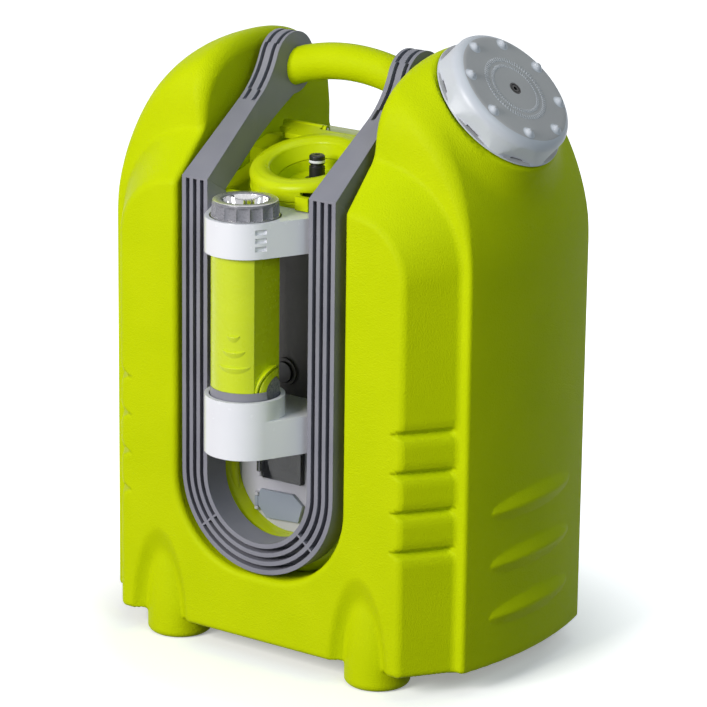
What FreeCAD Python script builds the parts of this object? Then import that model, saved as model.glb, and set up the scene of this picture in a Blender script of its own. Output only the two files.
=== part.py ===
import FreeCAD, Part
import math
import os

# Portable pressure washer and shower: a twin-lobe water tank with a pump module,
# a carrying handle and a stowed spray gun. Millimetres, +Z up, the front faces -Y.
# Everything is drawn about the middle of the tank and moved once, by SHIFT, when saved.

V = FreeCAD.Vector
X_AXIS = V(1, 0, 0)
Y_AXIS = V(0, 1, 0)
Z_AXIS = V(0, 0, 1)

# Puts the middle of the whole outline over the origin, on the ground.
SHIFT = V(-2.1, 23.35, 0)

# ---- tank ----
TANK_HALF_W = 168.0
TANK_FRONT_D = 80.0         # from the middle to the front and rear faces, at the corners
TANK_BACK_D = 84.0
SIDE_BULGE = 10.0           # how far the sides bow out halfway along
FRONT_BULGE = 5.0
TANK_BOTTOM = 18.0
TANK_WALL = 3.5
SHOULDER_Z = 325.0          # where the straight sides end
SHOULDER_R = 175.0          # arc of the shoulders, seen from the front
CROWN_Z = 418.0             # where the front and rear faces start to round over
CROWN_TOP = 474.0
CROWN_POWER = 2.3           # 2 would be an ellipse; more is fuller
BODY_EDGE_R = 5.0

BLOCK_Y = 117.0             # front face of the raised panels
BLOCK_HALF_W = 134.0
BLOCK_FOOT_HALF_W = 156.0   # where the raised panel meets the tank
BLOCK_ARCH = V(84, 0, 322)
BLOCK_ARCH_R = 50.0
BLOCK_FOOT_ARCH = V(78, 0, 329)
BLOCK_FOOT_ARCH_R = 78.0
BACK_BLOCK_DROP = 25.0      # the rear panel's arch sits this much lower
BLOCK_EDGE_R = 5.0

GROOVE_Z = [117.0, 148.0, 179.0, 210.0]
GROOVE_DEPTH = 9.0
GROOVE_FOOT_DEPTH = 6.0
GROOVE_END = 17.0           # run-out of the first and last grooves

RIB_Z = [55.0, 96.5, 138.5] # raised lens-shaped ribs on both sides
RIB_Y = 8.0
RIB_SIZE = V(14.0, 60.0, 14.1) # half sizes of the ellipsoid that a rib is cut from

CHANNEL_HALF_W = 79.5
CHANNEL_BOTTOM = 71.5
CHANNEL_CORNER_R = 68.0

FOOT_X = 96.4
FOOT_Y = 90.5
FOOT_R = 24.0
FOOT_STRAIGHT = 16.0        # height of the straight part of a foot
FOOT_OGIVE = 112.0          # half height of the long ellipsoid that the foot tapers into
FOOT_TOP = 76.0
FOOT_EDGE_R = 5.0
NICHE_SIZE = V(32.5, 25, 102)
NICHE_Y = 130.0

OUTLET_R = 8.0              # where the pump draws from the tank
OUTLET_Y = 20.0
OUTLET_Z = 155.0

# ---- filler neck and cap, along an axis tilted 45 degrees outwards ----
CAP_TOP = V(TANK_HALF_W - 17.5, 0, 456.3)
CAP_AXIS = V(1, 0, 1).normalize()
CAP_DOWN = V(1, 0, -1).normalize()
CAP_HEIGHT = 21.0
CAP_R = 57.0
CAP_TOP_R = 53.5
CAP_EDGE_R = 7.0
CAP_FLATS = 8
CAP_FLAT_DISTANCE = 52.8
CAP_FIRST_FLAT = 16.0       # degrees
BUMP_CIRCLE_R = 42.9
BUMP_R = 3.4
CAP_DISC = 3.2
NECK_R = 46.0
NECK_BORE_R = 41.0
NECK_CLEARANCE = 0.4
NECK_PAD_GAP = 1.0          # between the cap skirt and the shoulder pad
NECK_FLARE_R = 66.0         # the shoulder cone widens to this
NECK_FLARE_LENGTH = 34.0
GASKET_T = 2.6
VENT_R = 5.2
VENT_HOLE_R = 1.6

# ---- grey frame ----
FRAME_FRONT_Y = -118.0
FRAME_BACK_Y = -95.0
FRAME_R_OUT = 72.2
FRAME_R_IN = 47.8
FRAME_Z = 147.0             # centre of the bottom bend
CREASE_Z = 379.0
SLOT_RADII = [53.2, 60.0, 66.8]
SLOT_WIDTH = 3.4
SLOT_DEPTH = 15.0
SLOT_RIB_ANGLE = 50.0
SLOT_RIB_WIDTH = 1.6
MITRE_Z = 366.0             # where the leg's rear face meets the arm's underside
HUB_Y = -2.5
HUB_Z = 450.0
HUB_R = 24.5
ARM_IN = 52.2               # the arms narrow towards the hubs
ARM_OUT = 69.8
ARM_TAPER_END_Y = -50.0
ARM_SLOT_X = [57.0, 65.6]
ARM_SLOT_WIDTH = 4.4
ARM_SLOT_JOG = 1.2          # sideways step of the slots near both ends
ARM_SLOT_Z = [427.5, 434.0, 467.0]
ARM_SLOT_TO_Y = 6.0

# ---- handle ----
HANDLE_Y = 1.0
HANDLE_Z = 447.2
HANDLE_BOW = 9.0
HANDLE_R = 14.3
HANDLE_END_GAP = 0.2
BOLT_R = 4.0
BOLT_HOLE_R = 4.2
BOLT_HEAD_R = 7.5
BOLT_HEAD_T = 5.0
BOLT_REACH = 18.0

# ---- pump module housing ----
HOUSING_GAP = 0.4
HOUSING_BACK_Y = 78.0
HOUSING_WALL = 3.0
BEZEL_R = 50.0              # opening in the housing front
BEZEL_DEPTH = 20.0
BEZEL_EDGE_R = 8.0
BAY_TOP = 348.0             # top of the opening
PANEL_T = 3.0
PANEL_GAP = 0.2
PANEL_LIP = 6.0             # ledge that the panels rest on
LID_TILT = 15.0
LID_AXIS = V(0, -math.sin(math.radians(LID_TILT)), math.cos(math.radians(LID_TILT)))
LID_CENTRE = V(0, -53.3, 391.3)
LID_SEAT = 14.5             # from the lid's top plane down to the housing top
LID_CLEARANCE = 0.5
WELL_DEPTH = 9.0            # round recess in the roof under the lid's funnel
ROOF_DROP = 13.0            # how much lower the roof lies beside the lid's round seat
ROOF_DROP_Y = (-90.0, -25.0)
HOUSING_REAR_Z = 385.0

# ---- hose lid ----
LID_R = 47.2
LID_BORE_R = 31.0
LID_FUNNEL_R = 27.0
LID_HINGE_Y = -2.0
LID_HINGE_Z = 401.0
LID_BARREL_R = 3.4
LID_BARREL = [24.0, 58.0]
LID_PIN_R = 1.4
PIN_CLEARANCE = 0.06
POST_T = 3.0
LATCH_X = 28.0
LATCH_HALF_W = 6.0
LATCH_FRONT_Y = -101.0
LATCH_HEAD_T = 5.0
LATCH_TRAVEL = 3.0
LATCH_CLEARANCE = 1.5

# ---- hose fitting ----
NIPPLE_Y = -43.5
NIPPLE_TOP = 392.0
NIPPLE_R = 6.1
NIPPLE_TAIL = 17.0          # length below the well's floor
NIPPLE_TAIL_R = 5.4
NIPPLE_COLLAR_R = 9.0       # level collar that the connector seats on
NIPPLE_COLLAR_TOP = 4.0     # above the well's floor

# ---- spray gun and its holders ----
GUN_Y = -133.0
HOLDER_R = 30.7
HOLDER_BORE_R = 27.2
HOLDER_FLARE = 25.0         # degrees that the side walls open towards the tank
HOLDER_HALF_W = 46.4
HOLDER_GRIP_ANGLE = 60.0    # where the three grip dents sit, round from the front
UPPER_HOLDER_Z = [334.7, 361.9]
CUP_Z = [178.6, 223.7]
CUP_FLOOR = 3.0
BRACKET_TOP = 208.0
GUN_R = 25.8
GUN_FLAT_X = 20.6
GUN_BODY_Z = [230.0, 361.0]
GUN_COLLAR_R = 26.3
GUN_BOTTOM = 190.0
RING_Z = [361.4, 374.5]
RING_R = 26.2
RING_TOP_R = 25.0
RING_BORE_R = 18.2
RING_SCALLOPS = 16
KNUCKLE_Y = -128.0
KNUCKLE_Z = 228.5
KNUCKLE_R = 11.0
KNUCKLE_DISC_T = 1.3

# ---- control panel ----
PANEL_Y = -75.0
PANEL_SPLIT_Z = 174.0
WINDOW_X = [-25.0, 14.0]
WINDOW_Z = [138.0, 168.0]
WINDOW_PIN = V(-26.0, -80.0, 0)
WINDOW_PIN_R = 1.0
FLAP_OUTLINE = [(-31.0, 117.0), (-26.0, 127.5), (5.0, 128.5), (14.5, 121.0), (10.5, 107.0), (-20.0, 105.0)]
FLAP_T = 2.8
FLAP_PIN = V(-30.0, -77.6, 0)
FLAP_PIN_R = 0.9
FLAP_BARREL_Z = [113.5, 121.5]
SOCKET_X = [-18.0, 6.0]
SOCKET_Z = [109.0, 125.0]
BUTTON_X = -5.0
BUTTON_Z = 226.0
BUTTON_R = 8.0

# ---- inside the housing ----
SCREW_R = 2.0
SCREW_HEAD_R = 4.0
SCREW_HEAD_T = 2.5
FRAME_SCREW_BITE = 6.0
HOLDER_SCREW_BITE = 3.5
COVER_T = 3.0
COVER_BOSS_R = 5.0
COVER_BOSS_LENGTH = 14.0
BATTERY_TOP = 125.0
BATTERY_HALF_W = 50.0
BATTERY_Y = [-30.0, 60.0]
PUMP_R = 24.0
PUMP_TOP = 172.0
MOTOR_R = 22.0
MOTOR_TOP = 235.0
PIPE_R = 5.4
PIPE_BORE_R = 3.5
FITTING_R = 7.9
FITTING_BORE_R = 5.5


def save(shape, name):
    moved = shape.copy()
    moved.translate(SHIFT)
    moved.exportStep("parts/" + name + ".step")


def box(x0, x1, y0, y1, z0, z1):
    return Part.makeBox(x1 - x0, y1 - y0, z1 - z0, V(x0, y0, z0))


def cylinder(r, length, base, axis):
    return Part.makeCylinder(r, length, base, axis)


def tube(r_out, r_in, length, base, axis):
    return cylinder(r_out, length, base, axis).cut(cylinder(r_in, length, base, axis))


def extrude_wire(edges, direction):
    return Part.Face(Part.Wire(edges)).extrude(direction)


def polygon(points, direction):
    return Part.Face(Part.makePolygon(points + [points[0]])).extrude(direction)


def both_sides(shape):
    return [shape, shape.mirror(V(0, 0, 0), X_AXIS)]


def first_solid(shape):
    return max(shape.Solids, key=lambda s: s.Volume)


def seg(a, b):
    return Part.makeLine(a, b)


def arc(a, b, c):
    return Part.Arc(a, b, c).toShape()


# ---------------------------------------------------------------- outlines

def u_outline(half_w, centre_z, top_z, y):
    # A slot shape that is round at the bottom and open upwards.
    left = V(-half_w, y, centre_z)
    right = V(half_w, y, centre_z)
    bottom = V(0, y, centre_z - half_w)
    return [arc(left, bottom, right),
            seg(right, V(half_w, y, top_z)),
            seg(V(half_w, y, top_z), V(-half_w, y, top_z)),
            seg(V(-half_w, y, top_z), left)]


def u_block(half_w, centre_z, top_z, y0, y1):
    return extrude_wire(u_outline(half_w, centre_z, top_z, y0), V(0, y1 - y0, 0))


def channel_prism(inset, y0, y1, top_z):
    # The channel between the lobes; inset makes a body that fits inside it.
    half_w = CHANNEL_HALF_W - inset
    bottom = CHANNEL_BOTTOM + inset
    r = CHANNEL_CORNER_R - inset
    cx = half_w - r
    cz = bottom + r
    k = r * math.sqrt(0.5)
    edges = [seg(V(-cx, y0, bottom), V(cx, y0, bottom)),
             arc(V(cx, y0, bottom), V(cx + k, y0, cz - k), V(half_w, y0, cz)),
             seg(V(half_w, y0, cz), V(half_w, y0, top_z)),
             seg(V(half_w, y0, top_z), V(-half_w, y0, top_z)),
             seg(V(-half_w, y0, top_z), V(-half_w, y0, cz)),
             arc(V(-half_w, y0, cz), V(-cx - k, y0, cz - k), V(-cx, y0, bottom))]
    return extrude_wire(edges, V(0, y1 - y0, 0))


# ---------------------------------------------------------------- tank

def half_width(y, z, inset):
    # Half the tank's width; the sides bow out and the shoulders are arcs.
    bulge = SIDE_BULGE * (1 - (y / TANK_FRONT_D) ** 2)
    r = SHOULDER_R + bulge - inset
    rise = max(z - SHOULDER_Z, 0.0)
    return TANK_HALF_W - SHOULDER_R + math.sqrt(max(r * r - rise * rise, 1.0))


def crown_y(half_depth, z, inset):
    if z <= CROWN_Z:
        return half_depth - inset
    t = (z - CROWN_Z) / (CROWN_TOP - CROWN_Z - inset)
    return (half_depth - inset) * max(1 - t ** CROWN_POWER, 0.0) ** (1 / CROWN_POWER)


def plan_wire(z, r, inset):
    # Outline of the tank in a level plane, counter-clockwise from the rear right corner.
    front = crown_y(TANK_FRONT_D, z, inset)
    back = crown_y(TANK_BACK_D, z, inset)
    r = min(r, front * 0.8)
    k = r * (1 - math.sqrt(0.5))
    x_front = half_width(-front, z, inset)
    x_back = half_width(back, z, inset)
    side_front = half_width(-front + r, z, inset)
    side_back = half_width(back - r, z, inset)
    middle = half_width(0, z, inset)
    nose = front + FRONT_BULGE * (x_front / TANK_HALF_W) ** 2
    edges = [arc(V(side_back, back - r, z), V(x_back - k, back - k, z), V(x_back - r, back, z)),
             seg(V(x_back - r, back, z), V(-x_back + r, back, z)),
             arc(V(-x_back + r, back, z), V(-x_back + k, back - k, z), V(-side_back, back - r, z)),
             arc(V(-side_back, back - r, z), V(-middle, 0, z), V(-side_front, r - front, z)),
             arc(V(-side_front, r - front, z), V(-x_front + k, k - front, z), V(-x_front + r, -front, z)),
             arc(V(-x_front + r, -front, z), V(0, -nose, z), V(x_front - r, -front, z)),
             arc(V(x_front - r, -front, z), V(x_front - k, k - front, z), V(side_front, r - front, z)),
             arc(V(side_front, r - front, z), V(middle, 0, z), V(side_back, back - r, z))]
    return Part.Wire(edges)


def tank_body(inset):
    # Straight lower part, then a smooth loft that rounds over in both directions.
    foot_plan = plan_wire(TANK_BOTTOM + inset, BODY_EDGE_R, inset)
    straight = Part.Face(foot_plan).extrude(V(0, 0, 270 - TANK_BOTTOM - inset))
    levels = [270, 298, 325, 350, 375, 400, 418, 432, 445, 456, 464, 471]
    radii = [5, 5, 6, 7, 9, 12, 14, 16, 18, 19, 19, 18]
    wires = []
    for level, r in zip(levels, radii):
        z = level - inset * max(level - SHOULDER_Z, 0) / (CROWN_TOP - SHOULDER_Z)
        wires.append(plan_wire(z, r, inset))
    upper = Part.makeLoft(wires, True, False)
    return straight.fuse(upper)


def block_wire(y, half_w, arch, arch_r, groove, inset):
    # Outline of a raised panel: scalloped sides, rounded upper corners.
    w = half_w - inset
    r = arch_r - inset
    top = arch.z + r
    k = r * math.sqrt(0.5)
    bottom = TANK_BOTTOM + inset
    side = [V(w, y, bottom), V(w, y, GROOVE_Z[0] - GROOVE_END)]
    edges = [seg(side[0], side[1])]
    last = side[1]
    for i, z in enumerate(GROOVE_Z):
        tip = V(w - groove, y, z)
        if i == 0:
            mid = V(w - groove * 0.25, y, z - GROOVE_END * 0.42)
        else:
            mid = V(w, y, z - (z - GROOVE_Z[i - 1]) * 0.45)
        edges.append(arc(last, mid, tip))
        last = tip
    end = V(w, y, GROOVE_Z[-1] + GROOVE_END)
    edges.append(arc(last, V(w - groove * 0.25, y, GROOVE_Z[-1] + GROOVE_END * 0.42), end))
    edges.append(seg(end, V(w, y, arch.z)))
    edges.append(arc(V(w, y, arch.z), V(arch.x + k, y, arch.z + k), V(arch.x, y, top)))
    mirrored = [e.mirror(V(0, 0, 0), X_AXIS) for e in edges]
    edges.append(seg(V(arch.x, y, top), V(-arch.x, y, top)))
    edges += mirrored
    edges.append(seg(V(-w, y, bottom), V(w, y, bottom)))
    return Part.Wire(Part.__sortEdges__(edges))


def raised_block(inset, drop):
    arch = BLOCK_ARCH - Z_AXIS * drop
    foot_arch = BLOCK_FOOT_ARCH - Z_AXIS * drop
    front = block_wire(-(BLOCK_Y - inset), BLOCK_HALF_W, arch, BLOCK_ARCH_R, GROOVE_DEPTH, inset)
    foot = block_wire(-(TANK_FRONT_D - inset - 2.0), BLOCK_FOOT_HALF_W, foot_arch,
                      BLOCK_FOOT_ARCH_R, GROOVE_FOOT_DEPTH, inset)
    block = Part.makeLoft([front, foot], True, True)
    y = -(BLOCK_Y - inset)
    rim = [e for e in block.Edges
           if abs(e.BoundBox.YMin - y) < 0.01 and abs(e.BoundBox.YMax - y) < 0.01
           and e.BoundBox.ZMin > GROOVE_Z[-1] + GROOVE_END - 0.01]
    return block.makeFillet(BLOCK_EDGE_R, rim)


def pad_centre(inset):
    return CAP_TOP - CAP_AXIS * (CAP_HEIGHT + NECK_PAD_GAP + inset)


def neck_pad(inset):
    # The flared shoulder under the cap, a cone that sinks into the lobe.
    top = pad_centre(inset)
    low = top - CAP_AXIS * NECK_FLARE_LENGTH
    return Part.makeCone(NECK_FLARE_R - inset, CAP_R - inset, NECK_FLARE_LENGTH, low, CAP_AXIS)


def tank_form(inset):
    form = tank_body(inset)
    front = raised_block(inset, 0)
    back = raised_block(inset, BACK_BLOCK_DROP).mirror(V(0, 0, 0), Y_AXIS)
    form = form.fuse([front, back, neck_pad(inset)])
    form = form.cut(cylinder(CAP_R + NECK_PAD_GAP, 60, pad_centre(inset), CAP_AXIS))
    return form.cut(channel_prism(-inset, -200, 200, 700))


def ellipsoid(size, centre):
    ball = Part.makeSphere(1.0)
    scale = FreeCAD.Matrix()
    scale.scale(size.x, size.y, size.z)
    solid = ball.transformGeometry(scale)
    solid.translate(centre)
    return solid


def foot(sx, sy):
    # A round foot that tapers up into its panel like a half-buried pointed arch.
    centre = V(sx * FOOT_X, sy * FOOT_Y, 0)
    column = cylinder(FOOT_R, FOOT_STRAIGHT, centre, Z_AXIS)
    column = column.makeFillet(FOOT_EDGE_R, [e for e in column.Edges if e.BoundBox.ZMax < 0.1])
    taper = ellipsoid(V(FOOT_R, FOOT_R, FOOT_OGIVE), centre + Z_AXIS * FOOT_STRAIGHT)
    taper = taper.common(box(-300, 300, -300, 300, FOOT_STRAIGHT, FOOT_TOP))
    return column.fuse(taper)


def foot_niche(sx, sy, grow):
    # A hollow in the panel around a foot; grow makes it larger all round.
    size = NICHE_SIZE + V(grow, grow, grow)
    return ellipsoid(size, V(sx * FOOT_X, sy * NICHE_Y, 0))


def side_rib(z, grow):
    # A lens-shaped rib: a wide ellipsoid that just stands out of the bowed side wall.
    return ellipsoid(RIB_SIZE + V(grow, grow, grow), V(TANK_HALF_W, RIB_Y, z))


def tank_hollows(grow):
    return [foot_niche(sx, sy, grow) for sx in (-1, 1) for sy in (-1, 1)]


def make_tank():
    shell = tank_form(0.0).cut(tank_hollows(0.0))
    additions = [foot(sx, sy) for sx in (-1, 1) for sy in (-1, 1)]
    for z in RIB_Z:
        additions += both_sides(side_rib(z, 0.0))
    neck_base = CAP_TOP - CAP_AXIS * (CAP_HEIGHT + NECK_PAD_GAP + 4)
    neck_length = CAP_HEIGHT + NECK_PAD_GAP + 4 - CAP_DISC - GASKET_T
    additions.append(cylinder(NECK_R, neck_length, neck_base, CAP_AXIS))
    shell = shell.fuse(additions)
    cavity = tank_form(TANK_WALL).cut(tank_hollows(TANK_WALL))
    shell = shell.cut(cavity)
    shell = shell.cut(cylinder(NECK_BORE_R, neck_length + 20, neck_base - CAP_AXIS * 12, CAP_AXIS))
    shell = shell.cut(cylinder(OUTLET_R, 12, V(CHANNEL_HALF_W - 4, OUTLET_Y, OUTLET_Z), X_AXIS))
    return first_solid(shell)


# ---------------------------------------------------------------- cap

def around_cap(radius, angle, depth):
    # A point on the cap at an angle from straight down the slope, below the cap's top plane.
    a = math.radians(angle)
    return CAP_TOP + CAP_DOWN * (radius * math.cos(a)) + Y_AXIS * (radius * math.sin(a)) - CAP_AXIS * depth


def make_cap():
    base = CAP_TOP - CAP_AXIS * CAP_HEIGHT
    body = Part.makeCone(CAP_R, CAP_TOP_R, CAP_HEIGHT, base, CAP_AXIS)
    top_edge = [e for e in body.Edges if e.Curve.TypeId == "Part::GeomCircle"
                and abs(e.Curve.Radius - CAP_TOP_R) < 0.01]
    body = body.makeFillet(CAP_EDGE_R, top_edge)
    for i in range(CAP_FLATS):
        angle = CAP_FIRST_FLAT + i * 360.0 / CAP_FLATS
        out = (around_cap(1, angle, 0) - CAP_TOP).normalize()
        side = CAP_AXIS.cross(out)
        centre = CAP_TOP + out * CAP_FLAT_DISTANCE - CAP_AXIS * (CAP_HEIGHT + 1)
        plate = Part.makePolygon([centre - side * 30, centre + side * 30,
                                  centre + side * 30 + out * 20, centre - side * 30 + out * 20,
                                  centre - side * 30])
        flat = Part.Face(plate).extrude(CAP_AXIS * (CAP_HEIGHT - 3))
        rim = cylinder(CAP_R + 5, 3.5, base - CAP_AXIS * 1, CAP_AXIS)
        body = body.cut(flat.cut(rim))
    inner_r = NECK_R + NECK_CLEARANCE
    body = body.cut(cylinder(inner_r, CAP_HEIGHT - CAP_DISC, base, CAP_AXIS))
    body = body.cut(cylinder(VENT_R, 20, CAP_TOP - CAP_AXIS * 15, CAP_AXIS))
    for i in range(CAP_FLATS):
        angle = CAP_FIRST_FLAT + i * 360.0 / CAP_FLATS
        body = body.fuse(Part.makeSphere(BUMP_R, around_cap(BUMP_CIRCLE_R, angle, 0.6)))
    body = body.cut(cylinder(inner_r, CAP_HEIGHT - CAP_DISC, base, CAP_AXIS))
    return first_solid(body)


def make_cap_gasket():
    return tube(NECK_R + NECK_CLEARANCE - 0.2, NECK_BORE_R, GASKET_T,
                CAP_TOP - CAP_AXIS * (CAP_DISC + GASKET_T), CAP_AXIS)


def make_vent_insert():
    plug = cylinder(VENT_R, CAP_DISC, CAP_TOP - CAP_AXIS * CAP_DISC, CAP_AXIS)
    flange = cylinder(VENT_R + 3, 1.5, CAP_TOP - CAP_AXIS * (CAP_DISC + 1.5), CAP_AXIS)
    groove = tube(VENT_R - 1.2, VENT_R - 2.0, 0.8, CAP_TOP - CAP_AXIS * 0.8, CAP_AXIS)
    hole = cylinder(VENT_HOLE_R, 10, CAP_TOP - CAP_AXIS * 8, CAP_AXIS)
    return plug.fuse(flange).cut(groove).cut(hole)


def make_vent_valve():
    base = CAP_TOP - CAP_AXIS * (CAP_DISC + 1.5)
    leaf = cylinder(VENT_R + 2, 1.2, base - CAP_AXIS * 1.2, CAP_AXIS)
    return leaf


# ---------------------------------------------------------------- frame

def arm_profile(x):
    # Side view of one leg and arm, from the bottom bend up to the handle hub.
    def p(y, z):
        return V(x, y, z)

    def on_hub(deg):
        a = math.radians(deg)
        return p(HUB_Y + HUB_R * math.cos(a), HUB_Z + HUB_R * math.sin(a))

    crease = p(FRAME_FRONT_Y, CREASE_Z)
    slope_end = p(ARM_TAPER_END_Y, 428.0)
    hub_start = on_hub(160)
    hub_end = on_hub(-92)
    under_mid = p(-27, 412.5)
    under_end = p(ARM_TAPER_END_Y, 397.6)
    back_top = p(FRAME_BACK_Y, MITRE_Z)
    edges = [seg(p(FRAME_FRONT_Y, FRAME_Z), crease),
             seg(crease, slope_end),
             arc(slope_end, p(-35.5, 441.5), hub_start),
             arc(hub_start, on_hub(35), hub_end),
             arc(hub_end, under_mid, under_end),
             seg(under_end, back_top),
             seg(back_top, p(FRAME_BACK_Y, FRAME_Z)),
             seg(p(FRAME_BACK_Y, FRAME_Z), p(FRAME_FRONT_Y, FRAME_Z))]
    return Part.Wire(edges)


def arm_sides():
    # What is taken off the arm's two sides above the mitre, so that it narrows towards the hub.
    above = polygon([V(0, FRAME_FRONT_Y - 1, CREASE_Z), V(0, FRAME_FRONT_Y, CREASE_Z), V(0, FRAME_BACK_Y, MITRE_Z),
                     V(0, 60, MITRE_Z), V(0, 60, 600), V(0, FRAME_FRONT_Y - 1, 600)], V(200, 0, 0))
    inner = polygon([V(0, FRAME_FRONT_Y, 0), V(FRAME_R_IN, FRAME_FRONT_Y, 0), V(ARM_IN, ARM_TAPER_END_Y, 0),
                     V(ARM_IN, 60, 0), V(0, 60, 0)], V(0, 0, 700))
    outer = polygon([V(200, FRAME_FRONT_Y, 0), V(FRAME_R_OUT, FRAME_FRONT_Y, 0), V(ARM_OUT, ARM_TAPER_END_Y, 0),
                     V(ARM_OUT, 60, 0), V(200, 60, 0)], V(0, 0, 700))
    return [inner.common(above), outer.common(above)]


def arm_slot_cutters():
    cutters = []
    for x in ARM_SLOT_X:
        low, middle, high = ARM_SLOT_Z
        half = ARM_SLOT_WIDTH / 2
        cutters.append(box(x - half, x + half - ARM_SLOT_JOG, -200, 100, low, middle))
        cutters.append(box(x - half + ARM_SLOT_JOG, x + half, -200, 100, middle, high))
        cutters.append(box(x - half, x + half - ARM_SLOT_JOG, -200, 100, high, 600))
    return cutters


def make_frame():
    depth = FRAME_BACK_Y - FRAME_FRONT_Y
    width = FRAME_R_OUT - FRAME_R_IN
    bend = tube(FRAME_R_OUT, FRAME_R_IN, depth, V(0, FRAME_FRONT_Y, FRAME_Z), Y_AXIS)
    bend = bend.common(box(-100, 100, -200, 0, 0, FRAME_Z))
    arm = Part.Face(arm_profile(FRAME_R_IN)).extrude(V(width, 0, 0))
    skin = arm.cut(arm.translated(V(0, 5.0, -5.5)))
    skin = skin.common(box(0, 200, -200, ARM_SLOT_TO_Y, 0, 600))
    arm = arm.cut(arm_sides())
    arm = arm.cut([skin.common(cutter) for cutter in arm_slot_cutters()])
    hole = cylinder(BOLT_HOLE_R, 60, V(FRAME_R_IN - 10, HANDLE_Y, HANDLE_Z), X_AXIS)
    sink = cylinder(BOLT_HEAD_R + 0.5, BOLT_HEAD_T + 10,
                    V(ARM_OUT - BOLT_HEAD_T - 0.5, HANDLE_Y, HANDLE_Z), X_AXIS)
    arm = arm.cut(hole).cut(sink)
    frame = bend.fuse(both_sides(arm)).removeSplitter()
    slots = []
    for r in SLOT_RADII:
        outer = u_block(r + SLOT_WIDTH / 2, FRAME_Z, CREASE_Z - 1.5, FRAME_FRONT_Y - 1,
                        FRAME_FRONT_Y + SLOT_DEPTH)
        inner = u_block(r - SLOT_WIDTH / 2, FRAME_Z, CREASE_Z + 5, FRAME_FRONT_Y - 2,
                        FRAME_FRONT_Y + SLOT_DEPTH + 1)
        slots.append(outer.cut(inner))
    for side in (-1, 1):
        rib = box(-SLOT_RIB_WIDTH / 2, SLOT_RIB_WIDTH / 2, FRAME_FRONT_Y - 3, FRAME_FRONT_Y + SLOT_DEPTH + 3,
                  -FRAME_R_OUT, -FRAME_R_IN)
        rib.rotate(V(0, 0, 0), Y_AXIS, side * SLOT_RIB_ANGLE)
        rib.translate(V(0, 0, FRAME_Z))
        slots = [s.cut(rib) for s in slots]
    frame = frame.cut(slots)
    for x, z in frame_screw_places():
        start = V(x, FRAME_BACK_Y - FRAME_SCREW_BITE - 0.3, z)
        frame = frame.cut(cylinder(SCREW_R, FRAME_SCREW_BITE + 0.3, start, Y_AXIS))
    return first_solid(frame)


def frame_screw_places():
    x = (FRAME_R_IN + FRAME_R_OUT) / 2
    return [(-x, 300.0), (x, 300.0), (-x, 180.0), (x, 180.0)]


def screw(head, tip):
    # A plain screw: head at one end, round shank to the tip.
    axis = (tip - head).normalize()
    length = (tip - head).Length
    body = cylinder(SCREW_HEAD_R, SCREW_HEAD_T, head, axis).fuse(cylinder(SCREW_R, length, head, axis))
    return body.cut(cylinder(SCREW_R * 0.8, SCREW_HEAD_T * 0.6, head, axis))


def make_frame_screws():
    inner_face = FRAME_BACK_Y + HOUSING_WALL
    solids = []
    for x, z in frame_screw_places():
        solids.append(screw(V(x, inner_face + SCREW_HEAD_T, z), V(x, FRAME_BACK_Y - FRAME_SCREW_BITE, z)))
    return Part.makeCompound(solids)


# ---------------------------------------------------------------- handle

def make_handle():
    half = ARM_IN
    radius = (half * half + HANDLE_BOW * HANDLE_BOW) / (2 * HANDLE_BOW)
    top = V(0, HANDLE_Y, HANDLE_Z + HANDLE_BOW)
    pivot = top - Z_AXIS * radius
    sweep = 24.0
    disc = Part.Face(Part.Wire(Part.makeCircle(HANDLE_R, top, X_AXIS)))
    disc.rotate(pivot, Y_AXIS, -sweep)
    grip = disc.revolve(pivot, Y_AXIS, 2 * sweep)
    limit = half - HANDLE_END_GAP
    grip = grip.common(box(-limit, limit, -100, 100, 300, 600))
    for solid in both_sides(cylinder(BOLT_R, BOLT_REACH + 1, V(limit - BOLT_REACH - 1, HANDLE_Y, HANDLE_Z), X_AXIS)):
        grip = grip.cut(solid)
    return first_solid(grip)


def make_handle_bolts():
    head = V(ARM_OUT - 0.5, HANDLE_Y, HANDLE_Z)
    length = ARM_OUT - 0.5 - (ARM_IN - HANDLE_END_GAP - BOLT_REACH)
    bolt = cylinder(BOLT_HEAD_R, BOLT_HEAD_T, head - X_AXIS * BOLT_HEAD_T, X_AXIS)
    bolt = bolt.fuse(cylinder(BOLT_R, length, head - X_AXIS * length, X_AXIS))
    bolt = bolt.cut(cylinder(3.0, 3.0, head - X_AXIS * 3.0, X_AXIS))
    return Part.makeCompound(both_sides(bolt))


# ---------------------------------------------------------------- module housing

def lid_plane_z(y, drop):
    # Height of the plane that lies a given drop under the lid's top plane.
    slope = math.tan(math.radians(LID_TILT))
    return LID_CENTRE.z + (y - LID_CENTRE.y) * slope - drop / math.cos(math.radians(LID_TILT))


def housing_cap_profile(extra, top):
    # Everything above the housing's sloped front roof and its level rear roof.
    knee = -3.0
    pts = [V(-200, -200, lid_plane_z(-200, LID_SEAT) - extra),
           V(-200, knee, lid_plane_z(knee, LID_SEAT) - extra),
           V(-200, 60, HOUSING_REAR_Z - extra),
           V(-200, 200, HOUSING_REAR_Z - 20 - extra),
           V(-200, 200, top),
           V(-200, -200, top)]
    return polygon(pts, V(400, 0, 0))


def hinge_post(x0, x1):
    r = LID_BARREL_R - 0.2
    post = box(x0, x1, LID_HINGE_Y - r, LID_HINGE_Y + r, 380, LID_HINGE_Z)
    return post.fuse(cylinder(r, x1 - x0, V(x0, LID_HINGE_Y, LID_HINGE_Z), X_AXIS))


def bay(half_w, y0, y1, top_z):
    # The opening in the housing front, round at the bottom.
    return u_block(half_w, FRAME_Z, top_z, y0, y1)


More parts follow.
